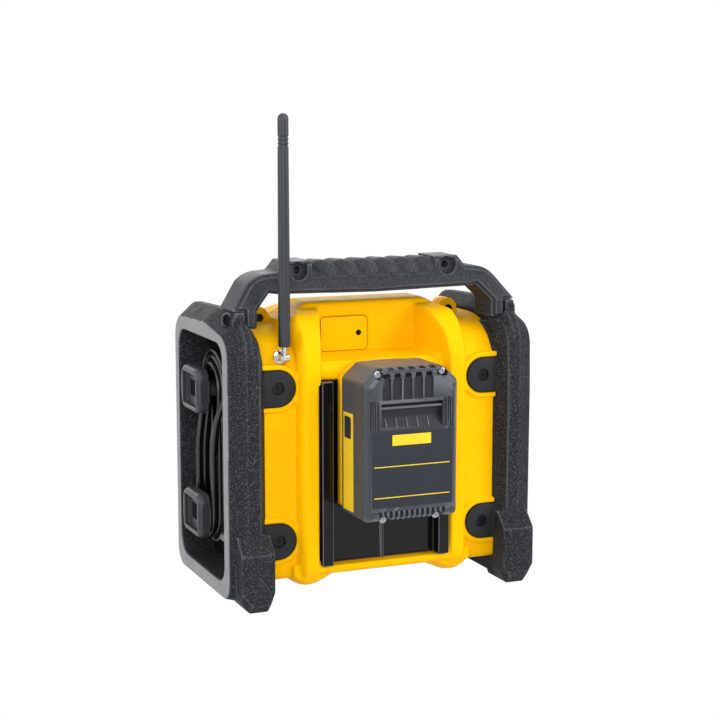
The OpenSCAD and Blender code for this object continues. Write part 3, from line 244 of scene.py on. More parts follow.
def settle(obj):
    """Puts what the object's modifiers make into its own mesh."""
    graph = bpy.context.evaluated_depsgraph_get()
    mesh = bpy.data.meshes.new_from_object(obj.evaluated_get(graph))
    old = obj.data
    obj.modifiers.clear()
    obj.data = mesh
    mesh.name = obj.name
    bpy.data.meshes.remove(old)
    return obj


def carve(obj, form, way="DIFFERENCE"):
    """Cuts a form out of an object, or joins it to it."""
    tool = form.loose("tool")
    step = obj.modifiers.new("carve", "BOOLEAN")
    step.operation = way
    step.solver = "EXACT"
    step.use_self = True
    step.object = tool
    settle(obj)
    bpy.data.objects.remove(tool)
    return obj


def melt(obj, voxel, rounds, faces):
    """Rounds all edges as a moulding has them: even voxels in mm, smoothed in rounds. A
    mesh with more faces than the last number is thinned to about that many triangles."""
    step = obj.modifiers.new("melt", "REMESH")
    step.mode = "VOXEL"
    step.voxel_size = voxel / MM
    settle(obj)
    step = obj.modifiers.new("smooth", "SMOOTH")
    step.factor = 0.5
    step.iterations = rounds
    settle(obj)
    if len(obj.data.polygons) > faces:
        step = obj.modifiers.new("thin", "DECIMATE")
        step.ratio = faces / (2 * len(obj.data.polygons))
        settle(obj)
    return obj


def split_faces(obj):
    """Cuts faces with many corners into triangles, so that none is filled across a gap."""
    mesh = bmesh.new()
    mesh.from_mesh(obj.data)
    bmesh.ops.triangulate(mesh, faces=[f for f in mesh.faces if len(f.verts) > 4])
    mesh.to_mesh(obj.data)
    mesh.free()


def bevelled(obj, width, steps, angle=30, lined=False):
    """Rounds the edges that turn by more than an angle; where lined, the roundings take
    the second material, a lighter one that paints a highlight on them."""
    if lined:
        for place in ("face", "line"):
            obj.data.materials.append(bpy.data.materials.new(place))
    step = obj.modifiers.new("bevel", "BEVEL")
    step.material = 1 if lined else -1
    step.width = width / MM
    step.segments = steps
    step.limit_method = "ANGLE"
    step.angle_limit = math.radians(angle)
    step.use_clamp_overlap = True
    step.miter_outer = "MITER_ARC"
    settle(obj)
    split_faces(obj)
    return obj


def finish_piece(obj, name, body, material, nodes=(), smooth=35):
    """Names a piece, gives it its material and body, and hides the CAD nodes that it
    stands for. Edges that turn by less than smooth degrees look round; at 0 all do."""
    obj.name = name
    obj.data.name = name
    materials = material if isinstance(material, tuple) else (material,)
    for i, m in enumerate(materials):
        if i < len(obj.data.materials):
            obj.data.materials[i] = m
        else:
            obj.data.materials.append(m)
    for p in obj.data.polygons:
        p.use_smooth = True
    if smooth:
        mesh = bmesh.new()
        mesh.from_mesh(obj.data)
        for e in mesh.edges:
            e.smooth = e.calc_face_angle(0) < math.radians(smooth)
        mesh.to_mesh(obj.data)
        mesh.free()
    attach(obj, body)
    if nodes:
        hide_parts(*nodes)
    return obj


# ---- materials ----------------------------------------------------------------

def linear(c):
    """A 0 to 255 display value as linear light, by the sRGB curve."""
    return c / 255 / 12.92 if c <= 10 else ((c / 255 + 0.055) / 1.055) ** 2.4


def srgb(r, g, b):
    """A colour written as its 0 to 255 display values."""
    return (linear(r), linear(g), linear(b), 1.0)


class Tree:
    """A material's nodes: its shader, and short ways to add and link others."""

    def __init__(self, name):
        self.material = bpy.data.materials.new(name)
        self.material.use_nodes = True
        self.nodes = self.material.node_tree.nodes
        self.links = self.material.node_tree.links
        self.nodes.clear()
        self.out = self.nodes.new("ShaderNodeOutputMaterial")
        self.bsdf = self.nodes.new("ShaderNodeBsdfPrincipled")
        self.links.new(self.bsdf.outputs["BSDF"], self.out.inputs["Surface"])
        self.place = self.nodes.new("ShaderNodeTexCoord").outputs["Object"]

    def link(self, a, b):
        self.links.new(a, b)

    def noise(self, size, detail=3.0, rough=0.55, stretch=None):
        """Noise from 0 to 1 with spots of about size millimetres."""
        node = self.nodes.new("ShaderNodeTexNoise")
        node.inputs["Scale"].default_value = MM / size
        node.inputs["Detail"].default_value = detail
        node.inputs["Roughness"].default_value = rough
        source = self.place
        if stretch:
            mapping = self.nodes.new("ShaderNodeMapping")
            mapping.inputs["Scale"].default_value = stretch
            self.link(source, mapping.inputs["Vector"])
            source = mapping.outputs["Vector"]
        self.link(source, node.inputs["Vector"])
        return node.outputs["Fac"]

    def ranged(self, value, low, high, a=0.3, b=0.7):
        """A value's range from a to b, spread to that from low to high."""
        node = self.nodes.new("ShaderNodeMapRange")
        node.inputs["From Min"].default_value = a
        node.inputs["From Max"].default_value = b
        node.inputs["To Min"].default_value = low
        node.inputs["To Max"].default_value = high
        self.link(value, node.inputs["Value"])
        return node.outputs["Result"]

    def mix(self, factor, a, b):
        """Colour a where the factor is 0, and b where it is 1."""
        node = self.nodes.new("ShaderNodeMix")
        node.data_type = "RGBA"
        # A mix node's sockets 0, 6 and 7 are its factor and its two colours
        for value, socket in ((a, node.inputs[6]), (b, node.inputs[7])):
            if isinstance(value, tuple):
                socket.default_value = value
            else:
                self.link(value, socket)
        self.link(factor, node.inputs[0])
        return node.outputs[2]

    def bump(self, height, depth, under=None):
        """A relief depth millimetres deep, over the relief under it."""
        node = self.nodes.new("ShaderNodeBump")
        node.inputs["Distance"].default_value = depth / MM
        node.inputs["Strength"].default_value = 1.0
        self.link(height, node.inputs["Height"])
        if under:
            self.link(under, node.inputs["Normal"])
        return node.outputs["Normal"]


def shade(colour, k):
    """A colour made k times as light."""
    return (*[min(1.0, c * k) for c in colour[:3]], 1.0)


# Sizes in millimetres of the patches of colour, the patches of gloss and the finest relief
PATCH = 28
SMEAR = 9
FINE = 0.5
FINE_DEPTH = 0.006
# Range of the grain's noise in which the painted glints show, and of pointiness in which the painted edge
# highlights do
GLINT_RANGE = (0.5, 0.74)
EDGE_HIGHLIGHT_RANGE = (0.505, 0.56)
# Size and depth of the slow swell under a grain, as multiples of the grain's own
SWELL_SIZE = 3.2
SWELL_DEPTH = 1.3


def plastic(name, colour, rough, tone, grain, edge=None, spec=0.3, metal=0.0, smudge=0.06,
            stretch=None, glint=None):
    """A moulded or metal surface: patchy colour and gloss, a grain of (size, depth) in
    millimetres, a painted highlight of another colour on convex edges, and painted
    glints of another colour on the grain's tops."""
    t = Tree(name)
    size, depth = grain
    grains = t.noise(size, 2.5, 0.6)
    tint = t.mix(t.ranged(t.noise(PATCH), 0, 1), shade(colour, 1 - tone), shade(colour, 1 + tone))
    # Painted glints: a lighter colour on the grain's tops
    if glint:
        tint = t.mix(t.ranged(grains, 0, 1, *GLINT_RANGE), tint, glint)
    # Painted highlight: the edge colour wherever pointiness finds a convex edge
    if edge:
        edge_highlight_mask = t.nodes.new("ShaderNodeNewGeometry").outputs["Pointiness"]
        tint = t.mix(t.ranged(edge_highlight_mask, 0, 1, *EDGE_HIGHLIGHT_RANGE), tint, edge)
    gloss = t.ranged(t.noise(SMEAR, stretch=stretch), rough - smudge, rough + smudge)
    t.link(tint, t.bsdf.inputs["Base Color"])
    t.link(gloss, t.bsdf.inputs["Roughness"])
    t.bsdf.inputs["Metallic"].default_value = metal
    t.bsdf.inputs["Specular IOR Level"].default_value = spec
    relief = t.bump(t.noise(FINE, 2.0), FINE_DEPTH)
    relief = t.bump(grains, depth, relief)
    relief = t.bump(t.noise(size * SWELL_SIZE, 1.0, 0.4), depth * SWELL_DEPTH, relief)
    t.link(relief, t.bsdf.inputs["Normal"])
    return t.material


def clear_window():
    """Slightly grey clear plastic."""
    t = Tree("window")
    tint = t.mix(t.ranged(t.noise(40), 0, 1), srgb(150, 156, 150), srgb(162, 168, 160))
    t.link(tint, t.bsdf.inputs["Base Color"])
    t.bsdf.inputs["Roughness"].default_value = 0.06
    t.bsdf.inputs["Transmission Weight"].default_value = 0.85
    t.bsdf.inputs["IOR"].default_value = 1.45
    t.link(t.bump(t.noise(6), 0.004), t.bsdf.inputs["Normal"])
    return t.material


def lit_display():
    """The grey-green glass of a display with nothing on it."""
    t = Tree("display")
    tint = t.mix(t.ranged(t.noise(14), 0, 1), srgb(150, 168, 140), srgb(168, 186, 156))
    t.link(tint, t.bsdf.inputs["Base Color"])
    t.bsdf.inputs["Roughness"].default_value = 0.5
    t.link(t.bump(t.noise(0.4), 0.01), t.bsdf.inputs["Normal"])
    return t.material


# In these materials the edge colour is a painted highlight on convex edges, and the speck colour is painted
# glints on the grain's tops
YELLOW = plastic("yellow", srgb(253, 190, 2), 0.45, 0.03, (1.1, 0.012), spec=0.04)
JOINT_BROWN = plastic("joint_brown", srgb(150, 88, 4), 0.6, 0.1, (0.9, 0.02), spec=0.1)
PACK_YELLOW = plastic("pack_yellow", srgb(252, 190, 4), 0.36, 0.04, (0.9, 0.02))
FRAME_BLACK = plastic("frame_black", srgb(37, 38, 41), 0.5, 0.14, (1.1, 0.3), edge=srgb(100, 102, 105),
                      spec=0.03, glint=srgb(88, 90, 93))
# A lighter, glossier copy of the frame's plastic: painted sheen for the outer ring faces
FRAME_SHEEN = plastic("frame_painted_sheen", srgb(116, 118, 120), 0.4, 0.1, (1.0, 0.06), spec=0.9)
HANDLE_BLACK = plastic("handle_black", srgb(50, 52, 55), 0.44, 0.12, (1.0, 0.14), edge=srgb(100, 102, 106),
                       spec=0.05, glint=srgb(80, 82, 86))
TAB_GREY = plastic("tab_grey", srgb(43, 45, 47), 0.42, 0.06, (0.8, 0.02), spec=0.12)
PACK_BLACK = plastic("pack_black", srgb(35, 38, 42), 0.34, 0.07, (0.9, 0.04), edge=srgb(92, 96, 101),
                     spec=0.25)
LABEL_GREY = plastic("label_grey", srgb(42, 46, 52), 0.5, 0.04, (1.4, 0.008), spec=0.2)
LABEL_YELLOW = plastic("label_yellow", srgb(232, 196, 40), 0.5, 0.05, (0.7, 0.01), spec=0.2)
BAY_GLOSS = plastic("bay_gloss", srgb(7, 7, 8), 0.12, 0.1, (12, 0.01), smudge=0.03, spec=0.3)
# Lighter grey for the bay liner's bevels: a painted edge highlight
BAY_EDGE_HIGHLIGHT = plastic("bay_edge_highlight", srgb(96, 99, 103), 0.2, 0.1, (4, 0.01), spec=0.5)
# Lighter black for the pack cover's bevels: a painted edge highlight
PACK_EDGE_HIGHLIGHT = plastic("pack_edge_highlight", srgb(54, 58, 63), 0.34, 0.08, (0.9, 0.03), spec=0.4)
# Near-black for thin sheets of painted shade in hollows
PAINTED_SHADE_BLACK = plastic("painted_shade_black", srgb(5, 5, 6), 0.7, 0.1, (0.9, 0.03), spec=0.05)
BLACK_PLASTIC = plastic("black_plastic", srgb(32, 33, 35), 0.42, 0.08, (0.9, 0.03), edge=srgb(66, 68, 70))
# Near-black: painted shade on the end panels deep in the end openings, and the dark joint round the tabs
JOINT_AND_SHADE_BLACK = plastic("joint_and_shade_black", srgb(13, 14, 15), 0.55, 0.1, (0.9, 0.03), spec=0.15)
GREY_PLASTIC = plastic("grey_plastic", srgb(78, 81, 84), 0.4, 0.07, (0.9, 0.04), edge=srgb(120, 124, 127))
CLEAT_GREY = plastic("cleat_grey", srgb(50, 53, 55), 0.4, 0.08, (0.9, 0.05), edge=srgb(116, 120, 122))
LEAD_RUBBER = plastic("lead_rubber", srgb(17, 18, 19), 0.24, 0.08, (1.6, 0.02), spec=0.7)
ROD_RUBBER = plastic("rod_rubber", srgb(38, 41, 45), 0.34, 0.06, (0.7, 0.02), spec=0.45)
STEEL = plastic("steel", srgb(178, 180, 184), 0.3, 0.06, (0.6, 0.008), metal=1.0, stretch=(1, 1, 6))
DARK_SCREW = plastic("dark_screw", srgb(44, 44, 47), 0.28, 0.1, (0.6, 0.01), metal=0.9)
CHROME = plastic("chrome", srgb(214, 215, 218), 0.1, 0.03, (3.0, 0.003), metal=1.0, smudge=0.04)
BRASS = plastic("brass", srgb(205, 170, 96), 0.28, 0.06, (0.8, 0.006), metal=1.0)
CELL_FILM = plastic("cell_film", srgb(70, 130, 170), 0.3, 0.06, (4.0, 0.01), metal=0.2)
BOARD = plastic("board", srgb(30, 96, 62), 0.35, 0.12, (0.9, 0.02))
PAPER = plastic("paper_cone", srgb(52, 52, 55), 0.75, 0.12, (0.5, 0.06))
IRON = plastic("iron", srgb(104, 104, 108), 0.4, 0.1, (0.7, 0.02), metal=0.8, stretch=(1, 8, 1))
COPPER = plastic("copper", srgb(190, 104, 56), 0.3, 0.08, (0.8, 0.02), metal=0.9, stretch=(1, 1, 9))
WINDOW = clear_window()
DISPLAY = lit_display()

# Finish of every CAD node, also of those that a piece below stands for
FINISHES = {
    YELLOW: ["front_case", "rear_case", "memory_door"],
    PACK_YELLOW: ["pack_base"],
    FRAME_BLACK: ["end_frame_left", "end_frame_right"],
    HANDLE_BLACK: ["handle"],
    PACK_BLACK: ["pack_cover"],
    BAY_GLOSS: ["bay_liner"],
    BLACK_PLASTIC: ["speaker_grilles", "control_panel", "volume_knob", "tuning_knob"],
    # End panels near-black: painted shade deep in the end openings
    JOINT_AND_SHADE_BLACK: ["end_panel_left", "end_panel_right"],
    GREY_PLASTIC: ["bay_terminal_block", "pack_release", "pack_cell_holders", "memory_cell_holder",
                   "speaker_baskets", "key_power", "key_mode", "key_down", "key_up", "key_memory", "cleats"],
    LEAD_RUBBER: ["strain_relief", "lead_winding", "lead_feed", "lead_tail", "plug_body"],
    ROD_RUBBER: ["antenna_rod"],
    STEEL: ["antenna_pin", "memory_cell", "encoders", "volume_shaft", "tuning_shaft", "key_switches"],
    DARK_SCREW: ["memory_door_screw", "frame_screws", "lug_screws", "handle_screws", "pack_screws"],
    CHROME: ["antenna_socket", "antenna_swivel", "antenna_stem"],
    BRASS: ["bay_terminal_blades", "pack_terminals", "plug_pins"],
    CELL_FILM: ["pack_cells"],
    BOARD: ["pack_board", "main_board"],
    PAPER: ["speaker_cones"],
    IRON: ["speaker_magnets", "transformer_core"],
    COPPER: ["transformer_coil"],
    WINDOW: ["display_window"],
    DISPLAY: ["display_module"],
}
for finish, names in FINISHES.items():
    for node_name in names:
        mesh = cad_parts[node_name].data
        mesh.materials.clear()
        mesh.materials.append(finish)


# ---- casing -------------------------------------------------------------------

def add_casing():
    """Both shells with the soft edges of a moulding."""
    for name in ("rear_case", "front_case"):
        shell = melt(Form().cad(name).loose(), voxel=0.9, rounds=9, faces=110000)
        finish_piece(shell, name + "_shell", "radio", YELLOW, [name], smooth=0)


# Width of the joint round the memory door, and the radius of its corners
JOINT_W = 0.45
DOOR_CORNER = 3.2


def add_memory_door():
    """A flat plate with its screw's hole, and the thin dark joint round it."""
    door = bevelled(Form().cad("memory_door").loose(), 0.3, 2)
    finish_piece(door, "memory_door_plate", "radio", YELLOW, ["memory_door"], smooth=10)

    (x0, x1), (z0, z1) = DOOR_X, DOOR_Z
    outside = rounded(x0, x1, z0, z1, DOOR_CORNER)
    inside = rounded(x0 + JOINT_W, x1 - JOINT_W, z0 + JOINT_W, z1 - JOINT_W, DOOR_CORNER - 0.4)
    joint = Form().prism(outside, "y", RECESS_Y - 0.6, RECESS_Y + 0.05).loose()
    carve(joint, Form().prism(inside, "y", RECESS_Y - 2, RECESS_Y + 2))
    finish_piece(joint, "memory_door_joint", "radio", JOINT_BROWN)


# ---- end frames and handle ----------------------------------------------------

# Shoulders of the casing and of the frame's back band: the (y, z) middle and radii of an
# arc, and its steps in degrees
SHOULDER = ((7.5, 174.0), (52.0, 40.0))
RIM = ((46.0, 189.0), (25.3, 24.3))
SHOULDER_STEPS = 5
SHOULDER_STEP = 12.5
# X at which the wall between them leaves the casing and meets the band, and from which
# the room behind the band is cleared
WALL_X = 97.2
BAND_X = 104.5
ROOM_X = 90.0
# Faces of a frame's outer ring that take the painted sheen: least X of their normal, and of their place in
# metres
SHEEN_TURN = 0.9
SHEEN_X = 0.1255


def on_arc(shoulder, t):
    """The point of a shoulder's arc at an angle."""
    (y, z), (ry, rz) = shoulder
    return Vector((0, y + ry * math.cos(t), z + rz * math.sin(t)))


def wall_rings(side, section, z0):
    """Rings along the casing's back edge, from z0 up and over its shoulder. A section's
    points are (x, shoulder, off): off millimetres out of that shoulder's outline."""
    rings = []
    for step in range(-1, SHOULDER_STEPS + 1):
        t = math.radians(max(0, step) * SHOULDER_STEP)
        out = Vector((0, math.cos(t), math.sin(t)))
        ring = []
        for x, shoulder, off in section:
            point = on_arc(shoulder, t)
            if step < 0:
                point.z = z0
            ring.append(point + out * off + Vector((side * x, 0, 0)))
        rings.append(ring)
    return rings


def add_inner_wall(body, side):
    """Clears the room behind a frame's back band, and puts the leaning wall there."""
    room = [(ROOM_X, SHOULDER, 3.2), (WALL_X + 1.7, SHOULDER, 3.2), (BAND_X, RIM, 0), (BAND_X, RIM, 9),
            (ROOM_X, RIM, 9)]
    wall = [(WALL_X, SHOULDER, -0.5), (WALL_X, SHOULDER, 0.3), (BAND_X, RIM, 0), (BAND_X, SHOULDER, -0.5)]
    carve(body, Form().loft(wall_rings(side, room, 59)))
    carve(body, Form().loft(wall_rings(side, wall, 50)), "UNION")


def add_end_frames():
    """Grained frames whose outer ring faces take a smoother, lighter copy of the frame's material: a painted
    sheen of the side light.
    """
    for side, end in ((1, "left"), (-1, "right")):
        node_name = "end_frame_" + end
        body = Form().cad(node_name).loose()
        add_inner_wall(body, side)
        melt(body, voxel=0.8, rounds=4, faces=70000)
        finish_piece(body, "frame_" + end, "radio", (FRAME_BLACK, FRAME_SHEEN),
                     [node_name], smooth=0)
        # Outer ring faces that face outward take the painted sheen
        for face in body.data.polygons:
            if side * face.normal.x > SHEEN_TURN and abs(face.center.x) > SHEEN_X:
                face.material_index = 1


# X at which the tabs' faces end beside the frame, and the hole round a tab's screw
TAB_END_X = 98.5
TAB_HOLE_R = 5.1
# Each layer on a tab: its name, how far it reaches past the tab's radius and out of its face
TAB_LAYERS = [("tab_faces", 0.0, 0.45, TAB_GREY), ("tab_rims", 0.7, 0.15, JOINT_AND_SHADE_BLACK)]


def add_tab_covers():
    """Smooth D-shaped faces on the tabs, with a thin dark rim behind them."""
    for name, grow, out, material in TAB_LAYERS:
        covers = Form()
        holes = Form()
        r = TAB_R + grow
        for z in TAB_ZS:
            outline = arc(TAB_X, z, r, 90, 270, 24) + [(TAB_END_X, z - r), (TAB_END_X, z + r)]
            covers.prism(outline, "y", TAB_Y - 0.8, TAB_Y + out, 0.2)
            holes.rod((TAB_X, TAB_Y - 3, z), (TAB_X, TAB_Y + 2, z), TAB_HOLE_R)
        plates = carve(covers.mirrored().loose(), holes.mirrored())
        finish_piece(plates, name, "radio", material)


# Finger lobes of the handle, and X of the one nearest to the middle
LOBES = 6
LOBE_R = 9.2
LOBE_X = 4.4
# How deep the bar is cut back under the lobes, at its top and at its edges, and how far
# the slant between the two reaches in
TOP_CUT = 4.5
EDGE_CUT = 14.5
EDGE_W = 11.0
# Pockets round the handle's eyes
POCKET_R = 7.0
POCKET_DEPTH = 6.0


def grip_cut():
    """What the bar loses at its top and edges, so that the lobes stand out of them."""
    reach = 2.5 * GROOVE_PITCH + 9
    front = HANDLE_FRONT_Y - 2
    back = HANDLE_Y + 2
    outline = [(front, GRIP_Z + 2), (front, GRIP_Z - EDGE_CUT), (HANDLE_FRONT_Y + EDGE_W, GRIP_Z - TOP_CUT),
               (HANDLE_Y - EDGE_W, GRIP_Z - TOP_CUT), (back, GRIP_Z - EDGE_CUT), (back, GRIP_Z + 2)]
    return Form().prism(outline, "x", -reach, reach)


def eye_pockets():
    """D-shaped pockets round the eyes."""
    pockets = Form()
    for x in (-EYE_X, EYE_X):
        bowl = arc(x, EYE_Z - 0.5, POCKET_R, 180, 360, 14)
        outline = [(x - POCKET_R, EYE_Z + 5), *bowl, (x + POCKET_R, EYE_Z + 5)]
        pockets.prism(outline, "y", HANDLE_Y - POCKET_DEPTH, HANDLE_Y + 2)
    return pockets


def finger_lobes():
    """Slanted lobes across the grip, each bent down at its crest."""
    lobes = Form()
    for i in range(LOBES):
        x = (i - LOBES / 2) * GROOVE_PITCH + LOBE_X
        z = GRIP_Z - LOBE_R
        crest = (x + 2.2, HANDLE_Y - 12, z)
        lobes.capsule(crest, (x - 2.2, HANDLE_Y - LOBE_R + 0.2, z - 2.2), LOBE_R)
        lobes.capsule((x + 5.5, HANDLE_FRONT_Y + LOBE_R, z - 0.6), crest, LOBE_R)
    return lobes


def add_handle():
    """The bar with pockets round its eyes and finger lobes on its grip."""
    bar = Form().cad("handle").loose()
    carve(bar, grip_cut())
    carve(bar, eye_pockets())
    carve(bar, finger_lobes(), "UNION")
    melt(bar, voxel=0.7, rounds=3, faces=60000)
    finish_piece(bar, "carrying_handle", "radio", HANDLE_BLACK, ["handle"], smooth=0)


# ---- battery pack -------------------------------------------------------------

# Cut at the upper corners of the pack's outline
TOP_CORNER = 12.0
# Rounded back edge of the cover: its length along Y, and how far in it ends
EDGE_ROUND = 6.0
EDGE_IN = 4.8
# Thickness of the cover's sides
COVER_WALL = 2.2
# Ribs of the cover's upper third, and the notches of its bottom edge
RIBS = 6
RIB_PITCH = 8.7
RIB_XS = [25.5 - RIB_PITCH * i for i in range(RIBS)]
FOOT_NOTCHES = 13
# Finger recess: its sides, its lower and upper edge, and its depth
GRIP_X0 = -24.6
GRIP_X1 = 25.6
GRIP_LOW = 142.5
GRIP_TOP = 162.0
GRIP_DEPTH = 4.6
# Grooves beside the recess, and lines beside the label
GROOVE_XS = (34.2, 32.4, 30.6, 28.4, -27.6, -29.8, -31.6, -33.4)
LINE_XS = (-35, 34.6)
# Corner screws at (x, z): radius of their pockets and of their heads
PACK_SCREWS = [(-26.6, PACK_TOP_Z - 4.6), (26.6, PACK_TOP_Z - 4.6),
               (-22.0, PACK_Z + 1.2), (22.0, PACK_Z + 1.2)]
SCREW_POCKET_R = 3.5
SCREW_R = 3.0
# Labels of the back and of the sides, and the print on them
LABEL_X = (-33.6, 33.2)
LABEL_Z = (82.4, 140.0)
RULE_X = 31.2
RULE_ZS = (114.0, 90.3)
FIELD = (-15.4, 16.5, 129.8, 137.9)
SIDE_LABEL = [(75.4, 75.0), (95.4, 75.6), (94.6, 151.4), (75.4, 150.8)]
SIDE_FIELD = (77.4, 90.4, 131.2, 148.2)


def pack_ring(inset, y):
    """Outline of the pack at a depth, its corners cut and rounded."""
    w = PACK_HALF - inset
    low = PACK_Z + inset
    top = PACK_TOP_Z - inset
    right = (arc(w - 4, low + 4, 4, 270, 360, 6) + arc(w - 5, top - TOP_CORNER - 1, 5, 0, 42, 4)
             + arc(w - TOP_CORNER - 2, top - 5, 5, 48, 90, 4))
    return [(x, y, z) for x, z in right] + [(-x, y, z) for x, z in reversed(right)]


def cover_body():
    """The cover without its reliefs, its back edge rounded."""
    start = PACK_BACK_Y - EDGE_ROUND
    rings = [pack_ring(0, COVER_Y), pack_ring(0, start)]
    for k in range(1, 7):
        a = math.radians(90 * k / 6)
        rings.append(pack_ring(EDGE_IN * (1 - math.cos(a)), start + EDGE_ROUND * math.sin(a)))
    return Form().loft(rings)


def cut_ribs(cut):
    """Channels between the ribs of the upper third, over the rounded top edge, and two
    staggered rows of notches along that edge."""
    y = PACK_BACK_Y
    top = PACK_TOP_Z
    for a, b in zip(RIB_XS, RIB_XS[1:]):
        cut.box((b + 0.75, y - 1.3, GRIP_TOP + 2.5), (a - 0.75, y + 1, top - 7), 0.4)
    for x in RIB_XS:
        cut.box((x - 6.9, y - 4.6, top - 7.0), (x - 1.8, y + 1, top - 3.4), 0.3)
        cut.box((x - 2.6, y - 9.0, top - 3.2), (x + 2.5, y - 2.2, top + 1), 0.3)


def cut_foot(cut):
    """A row of notches along the bottom edge, each in two steps."""
    y = PACK_BACK_Y
    for i in range(FOOT_NOTCHES):
        x = RIB_XS[0] + 0.6 - RIB_PITCH / 2 * i
        cut.box((x - 1.3, y - 1.5, PACK_Z + 2.5), (x + 1.3, y + 1, PACK_Z + 8), 0.3)
        cut.box((x - 1.3, y - 5.5, PACK_Z - 1), (x + 1.3, y - 1.5, PACK_Z + 2.2), 0.3)


def cut_recess(cut):
    """The finger recess with a ramp below, and columns of fine grooves beside it."""
    y = PACK_BACK_Y
    low = GRIP_LOW
    deep = y - GRIP_DEPTH
    outline = [(y + 1, GRIP_TOP), (deep, GRIP_TOP), (deep, low + 8.5), (y - 3.8, low + 6.5),
               (y + 0.1, low - 0.2), (y + 1, low - 0.2)]
    cut.prism(outline, "x", GRIP_X0, GRIP_X1)
    for x in GROOVE_XS:
        cut.box((x - 0.35, y - 0.6, low - 0.5), (x + 0.35, y + 1, GRIP_TOP + 2.5))


def cut_field(cut):
    """Lines beside the label, and the pockets of the corner screws."""
    y = PACK_BACK_Y
    for x in LINE_XS:
        cut.box((x - 0.25, y - 0.4, PACK_Z + 9.5), (x + 0.25, y + 1, GRIP_LOW - 1.5))
    for x, z in PACK_SCREWS:
        cut.rod((x, y - 8, z), (x, y + 2, z), SCREW_POCKET_R, sides=28)


def add_pack_cover():
    """The cover with its reliefs, and with the hollow that the cells sit in."""
    cover = cover_body().loose()
    reliefs = Form()
    for add_cuts in (cut_ribs, cut_foot, cut_recess, cut_field):
        add_cuts(reliefs)
    carve(cover, reliefs)
    hollow = [pack_ring(COVER_WALL, COVER_Y - 1), pack_ring(COVER_WALL, PACK_BACK_Y - 9),
              pack_ring(5, PACK_BACK_Y - 6.8)]
    carve(cover, Form().loft(hollow))
    # The bevels take the lighter second material: a painted edge highlight
    bevelled(cover, 0.22, 2, angle=40, lined=True)
    finish_piece(cover, "pack_shell", "battery_pack", (PACK_BLACK, PACK_EDGE_HIGHLIGHT),
                 ["pack_cover"], smooth=20)


def add_pack_screws():
    """Four cross-headed screws, deep in their pockets."""
    y = PACK_BACK_Y
    heads = Form()
    slots = Form()
    for x, z in PACK_SCREWS:
        heads.rod((x, y - 12, z), (x, y - 4.6, z), SCREW_R, soft=0.8, sides=24)
        slots.box((x - 1.9, y - 5.8, z - 0.45), (x + 1.9, y - 4, z + 0.45))
        slots.box((x - 0.45, y - 5.8, z - 1.9), (x + 0.45, y - 4, z + 1.9))
    screws = carve(heads.loose(), slots)
    finish_piece(screws, "pack_corner_screws", "battery_pack", STEEL, ["pack_screws"])


def add_pack_trim():
    """A bar across the finger recess, and small ribs on its ramp."""
    y = PACK_BACK_Y
    low = GRIP_LOW
    trim = Form()
    trim.box((GRIP_X0 - 0.5, y - 3.4, GRIP_TOP - 4.4), (GRIP_X1 + 0.5, y - 0.6, GRIP_TOP - 2.6), 0.5)
    outline = [(y - 4.6, low + 8), (y - 3.2, low + 7.0), (y - 0.02, low + 1.2), (y - 1, low)]
    for rib_x in RIB_XS[:-1]:
        x = rib_x - RIB_PITCH * 0.5
        trim.prism(outline, "x", x - 0.45, x + 0.45, 0.2)
    finish_piece(trim.loose(), "pack_trim", "battery_pack", PACK_BLACK)


def add_pack_labels():
    """Plain labels on the back and on both sides, with rules and a field but no text."""
    y = PACK_BACK_Y
    label = Form().prism(rounded(*LABEL_X, *LABEL_Z, 1.2), "y", y - 0.3, y + 0.06)
    finish_piece(label.loose(), "pack_label", "battery_pack", LABEL_GREY)

    rules = Form()
    for z in RULE_ZS:
        rules.box((-RULE_X, y - 0.1, z - 0.35), (RULE_X, y + 0.12, z + 0.35))
    rules.prism(rounded(*FIELD, 0.3), "y", y - 0.1, y + 0.12)
    finish_piece(rules.loose(), "pack_label_print", "battery_pack", LABEL_YELLOW)

    side = Form().prism(SIDE_LABEL, "x", PACK_HALF - 0.4, PACK_HALF + 0.03).mirrored()
    finish_piece(side.loose(), "pack_side_label", "battery_pack", LABEL_YELLOW)
    field = Form().prism(rounded(*SIDE_FIELD, 2), "x", PACK_HALF - 0.2, PACK_HALF + 0.06).mirrored()
    finish_piece(field.loose(), "pack_side_field", "battery_pack", LABEL_GREY)


def add_pack_base():
    """The inner shell, which holds the terminals and slides on the bay's rails."""
    base = bevelled(Form().cad("pack_base").loose(), 0.8, 3)
    finish_piece(base, "pack_base_shell", "battery_pack", PACK_YELLOW, ["pack_base"])


# ---- cleats, small parts and front --------------------------------------------

# Head of a cleat: half its width and height, its corners, and its rounded outer edge's
# length along X and how far in it ends
HEAD_HALF_W = 21.5
HEAD_HALF_H = 18
HEAD_CORNER = 8
HEAD_ROUND = 6
HEAD_IN = 3.4


def cleat_ring(z, inset, x):
    """Outline of a cleat's head at a distance out of the end."""
    half_w = HEAD_HALF_W - inset
    half_h = HEAD_HALF_H - inset
    r = max(1.5, HEAD_CORNER - inset)
    return [(x, CLEAT_Y + y, z + h) for y, h in rounded(-half_w, half_w, -half_h, half_h, r)]


def cleat_window(z, half_w, half_h, r):
    """Outline of an opening in the middle of a cleat's head."""
    return rounded(CLEAT_Y - half_w, CLEAT_Y + half_w, z - half_h, z + half_h, r)


